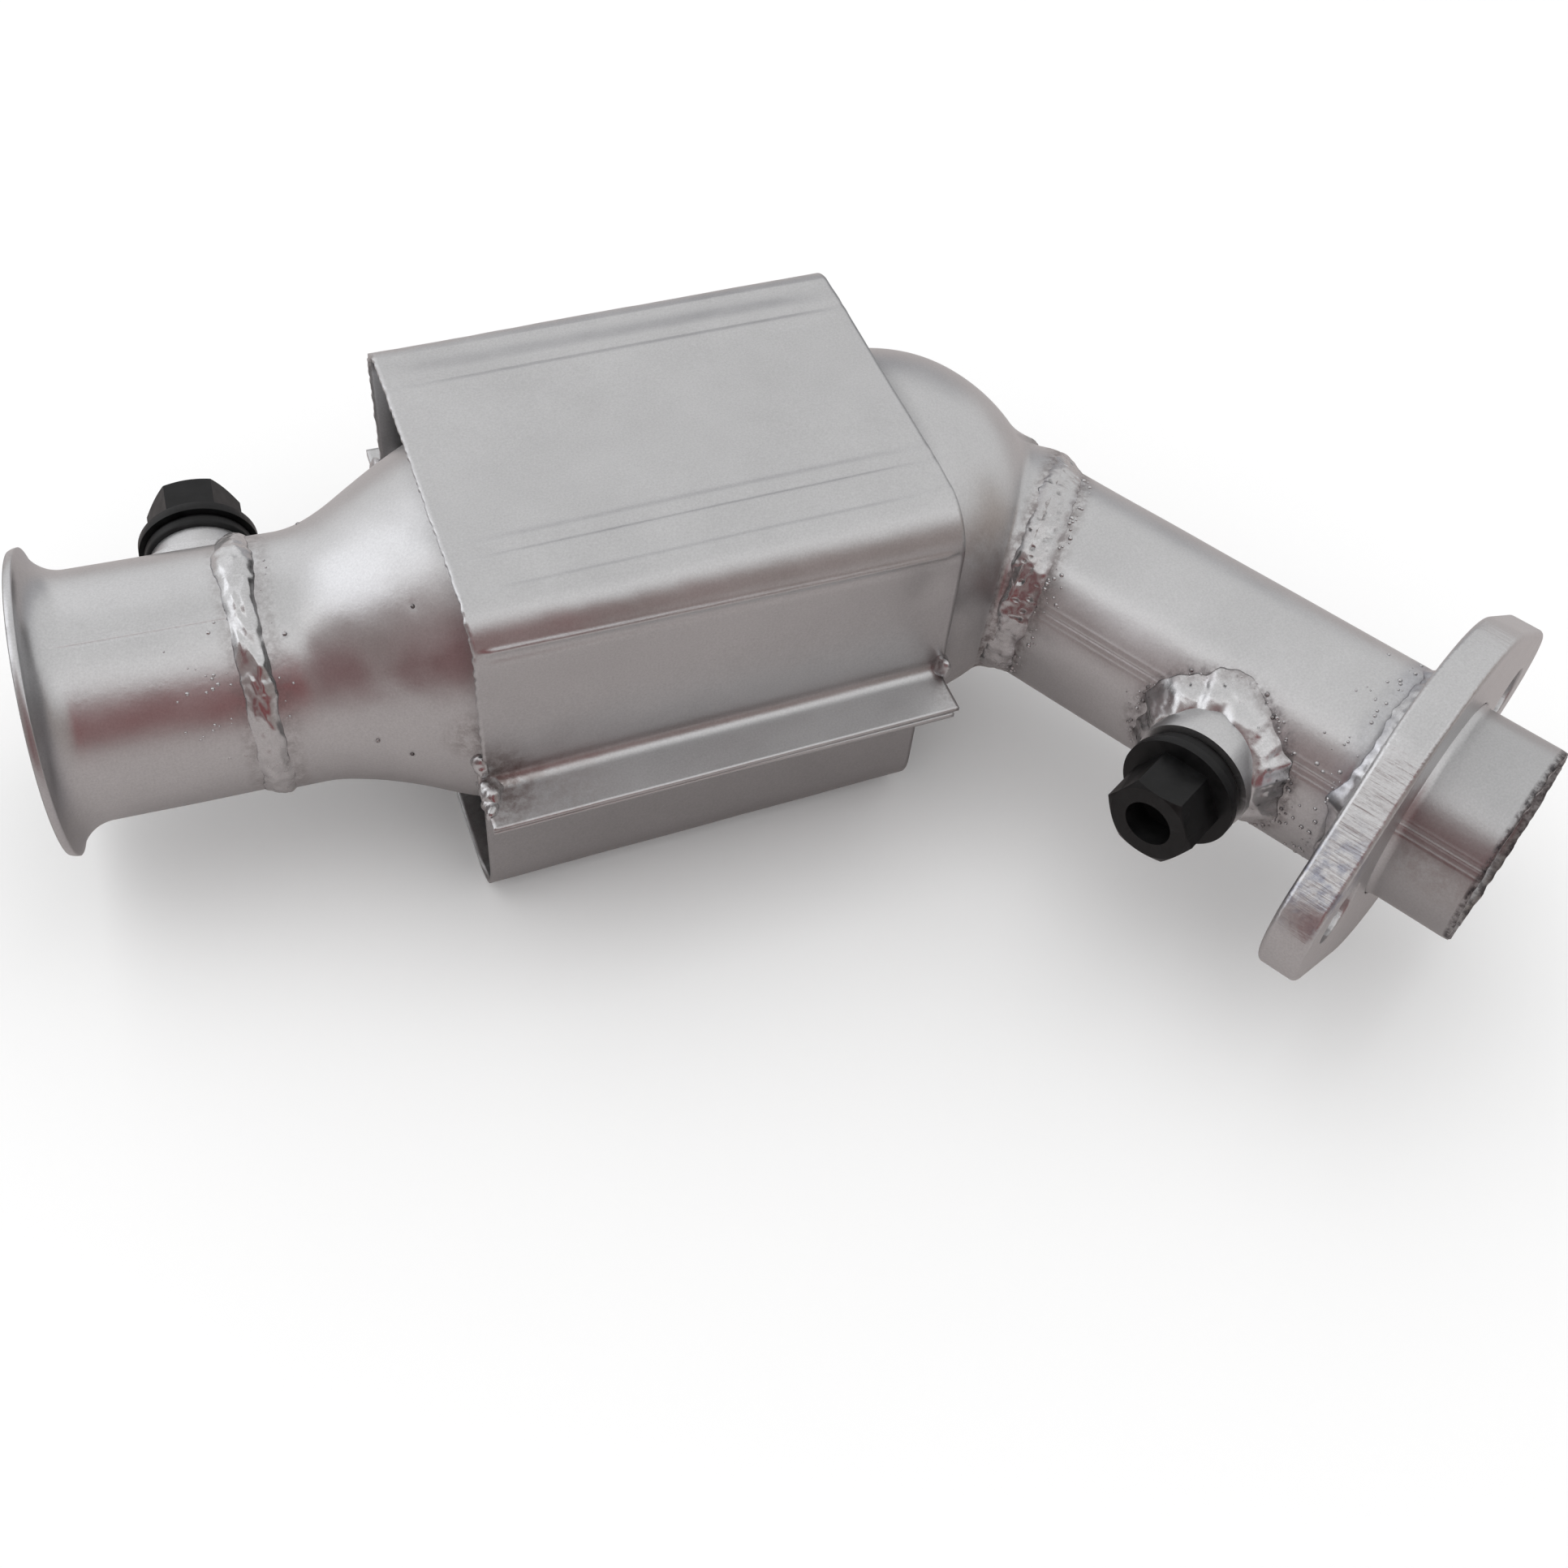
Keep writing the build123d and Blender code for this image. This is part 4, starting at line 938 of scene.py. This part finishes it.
def buildSpatter():
    # drops thrown beside each weld, and the pits in the cone's paint
    dice = np.random.default_rng(5)
    drops = []

    def add(place, stations, turns, radius, biggest, dark=0.1):
        spot = place(stations, 0 * stations + radius, turns)
        drops.append((spot, unit(spot - place(stations, 0 * stations, turns)),
                      biggest * dice.uniform(0.35, 1.0, len(stations)) ** 2 + 0.12 * mm,
                      dark * dice.uniform(0, 2, len(stations))))

    add(onInlet, (40.6 - np.abs(dice.normal(0, 1, 26)) * 7) * mm, dice.normal(-0.75, 0.35, 26),
        inlet["radius"], 0.36 * mm, 0.03)
    add(onInlet, dice.uniform(49.6, 53, 10) * mm, dice.uniform(-1.9, 0.3, 10), cone["mouth"], 0.3 * mm,
        0.03)
    turns = dice.uniform(-0.5, 2.1, 60)
    add(onOutlet, outletWeldMiddle(turns) + (4.8 + np.abs(dice.normal(0, 1, 60)) * 1.8) * mm, turns,
        outlet["radius"], 0.5 * mm)
    angle = dice.uniform(0, tau, 110)
    reach = (19.2 + np.abs(dice.normal(0, 1, 110)) * 1.3) * mm
    add(onOutlet, boss["station"] + reach * np.cos(angle),
        boss["turn"] + reach * np.sin(angle) / outlet["radius"], outlet["radius"], 0.5 * mm, 0.4)
    add(onOutlet, (119.4 - np.abs(dice.normal(0, 1, 60)) * 3.5) * mm, dice.uniform(-0.6, 2.2, 60),
        outlet["radius"], 0.45 * mm)
    places = conePits(-0.12 * mm)
    count = np.ones(len(places))
    droplets("paintPits", places, unit(places - conePits(-9 * mm)), 0.52 * mm * count, count)
    droplets("weldSpatter", *(np.concatenate(part) for part in zip(*drops)))


buildTackBlobs()
buildSpatter()
print("tacks and spatter made")

# finish on the nodes that stay as they are: the material, and the width of the soft edge in millimetres
nodeFinish = {"inlet_plug": (black, 0.25), "outlet_plug": (black, 0.25), "inlet_gasket": (black, 0.0),
              "outlet_gasket": (black, 0.0), "outlet_flange": (sawn, 0.5), "support_mat": (fibre, 0.0),
              "ceramic_substrate": (ceramic, 0.0), "shield_clips": (sheetPaint, 0.2),
              "can_girth_welds": (weldPaint, 0.0), "inlet_boss": (paint, 0.3), "outlet_boss": (paint, 0.3),
              "inlet_boss_weld": (weldPaint, 0.3), "shield_tack_welds": (weldPaint, 0.0)}
for name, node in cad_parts.items():
    material, edge = nodeFinish.get(name, (paint, 0.0))
    node.data.materials.clear()
    node.data.materials.append(material)
    if edge:
        weld = node.modifiers.new("merge", "WELD")
        weld.merge_threshold = 0.00001
        bevel = node.modifiers.new("soften", "BEVEL")
        bevel.width = edge * mm
        bevel.segments = 3
        bevel.limit_method = "ANGLE"
        bevel.angle_limit = radians(28)
        bevel.harden_normals = True
print("nodes painted")

# camera, at the photograph's place
view = {"place": (0.0406124, -0.2824394, 0.3213907), "turn": (40.11444, -5.06920, -21.74718),
        "lens": 41.7528, "shift": (-0.0273014, -0.0779630)}
camera = bpy.data.objects.new("camera", bpy.data.cameras.new("camera"))
bpy.context.scene.collection.objects.link(camera)
camera.location = view["place"]
camera.rotation_euler = [radians(angle) for angle in view["turn"]]
camera.data.lens = view["lens"]
camera.data.sensor_width = 36
camera.data.shift_x, camera.data.shift_y = view["shift"]
camera.data.clip_start = 0.01
bpy.context.scene.camera = camera

# floor, cards and lights; each card has one corner, its two edges and its colour
studio = {"floorReach": 14.0, "floorUnder": 0.1 * mm, "floorPale": (0.92, 0.92, 0.92),
          "floorSeen": (1.0, 1.0, 1.0), "floorSeenInMetal": (0.59, 0.54, 0.53), "skyForLight": 0.86,
          "skyInMetal": 0.95}
cards = {"duskFront": ((-1.4, -1.25, -0.03), (1.8, 0, 0), (0, 0, 1.33), (0.33, 0.265, 0.255)),
         "duskBeside": ((0.4, -1.25, -0.03), (1.8, 0, 0), (0, 0, 1.05), (0.38, 0.33, 0.31)),
         "duskRight": ((2.2, -1.25, -0.03), (-0.3, 1.0, 0), (0, 0, 0.95), (0.46, 0.39, 0.35)),
         "duskLeft": ((-0.98, -0.06, -0.03), (0.43, -1.04, 0), (0, 0, 1.38), (0.31, 0.245, 0.235)),
         "redFront": ((-0.30, -1.2, 0.12), (0.56, 0, 0), (0, 0, 1.05), (0.22, 0.004, 0.01)),
         "redLeft": ((-0.53, -0.48, 0.04), (0.13, -0.26, 0), (0, 0, 0.72), (0.15, 0.005, 0.012)),
         "duskBack": ((0.28, 1.2, -0.03), (1.5, 0, 0), (0, 0, 0.56), (0.52, 0.52, 0.54)),
         "brightFront": ((-1.2, -1.15, 1.45), (2.5, 0, 0), (0, 0.65, 0), (1.2, 1.2, 1.2)),
         "brightBack": ((-0.95, 1.25, 0.35), (1.1, 0, 0), (0, 0, 1.4), (1.12, 1.12, 1.13)),
         "brightLeft": ((-1.2, -0.05, 0.5), (0, 1.8, 0), (0, 0, 1.15), (1.75, 1.77, 1.82)),
         "brightAbove": ((-1.15, -0.6, 1.35), (0.58, 0, 0), (0, 0.75, 0), (1.5, 1.5, 1.5))}
keyLamp = {"place": (0.0, 0.1, 1.35), "aim": (0.14, -0.04, 0.0), "size": 1.4, "power": 5.0}


def addPlane(name, corner, across, up, material):
    # a flat square of the scene's stage, from one corner and its two edges
    corner, across, up = (np.array(part) for part in (corner, across, up))
    mesh = bpy.data.meshes.new(name)
    mesh.from_pydata([tuple(p) for p in (corner, corner + across, corner + across + up, corner + up)], [],
                     [(0, 1, 2, 3)])
    plane = bpy.data.objects.new(name, mesh)
    bpy.context.scene.collection.objects.link(plane)
    mesh.materials.append(material)
    return plane


def addFloor():
    level, reach = shield["bottom"] - studio["floorUnder"], studio["floorReach"]
    material, shader = newMaterial("floorPaper")
    rays = material.node_tree.nodes.new("ShaderNodeLightPath")
    color = mixColor(rays.outputs["Is Camera Ray"], studio["floorPale"], studio["floorSeen"])
    color = mixColor(rays.outputs["Is Glossy Ray"], color, studio["floorSeenInMetal"])
    setInputs(shader, {"Base Color": color, "Roughness": 0.9})
    addPlane("floor", (-reach, -reach, level), (2 * reach, 0, 0), (0, 2 * reach, 0), material)


def addCard(name, corner, across, up, color):
    # a flat glowing card that only shows as a reflection in the metal
    material, shader = newMaterial(name)
    tree = material.node_tree
    tree.nodes.remove(shader)
    glow = addNode(tree, "ShaderNodeEmission", {"Color": color})
    setInputs(tree.nodes["Material Output"], {"Surface": glow.outputs[0]})
    card = addPlane(name, corner, across, up, material)
    card.visible_camera = card.visible_diffuse = card.visible_shadow = card.visible_transmission = False


def addLamp(name, spec):
    data = bpy.data.lights.new(name, "AREA")
    data.shape, data.size, data.energy = "SQUARE", spec["size"], spec["power"]
    lamp = bpy.data.objects.new(name, data)
    bpy.context.scene.collection.objects.link(lamp)
    lamp.location = spec["place"]
    lamp.visible_glossy = False                     # the metal shows the sky and the cards instead
    lamp.rotation_euler = (Vector(spec["aim"]) - Vector(spec["place"])).to_track_quat("-Z", "Y").to_euler()


def addWorld():
    world = bpy.data.worlds.new("studio")
    bpy.context.scene.world = world
    world.use_nodes = True
    rays = world.node_tree.nodes.new("ShaderNodeLightPath")
    seen = mathNode("MAXIMUM", rays.outputs["Is Camera Ray"], rays.outputs["Is Transmission Ray"])
    glossy = rangeNode(rays.outputs["Is Glossy Ray"], 0, 1, studio["skyForLight"], studio["skyInMetal"])
    setInputs(world.node_tree.nodes["Background"],
              {"Color": (1, 1, 1), "Strength": mathNode("MAXIMUM", seen, glossy)})


addFloor()
for name, spec in cards.items():
    addCard(name, *spec)
addLamp("key", keyLamp)
addWorld()
bpy.context.scene.view_settings.view_transform = "Standard"
print("camera and light set")
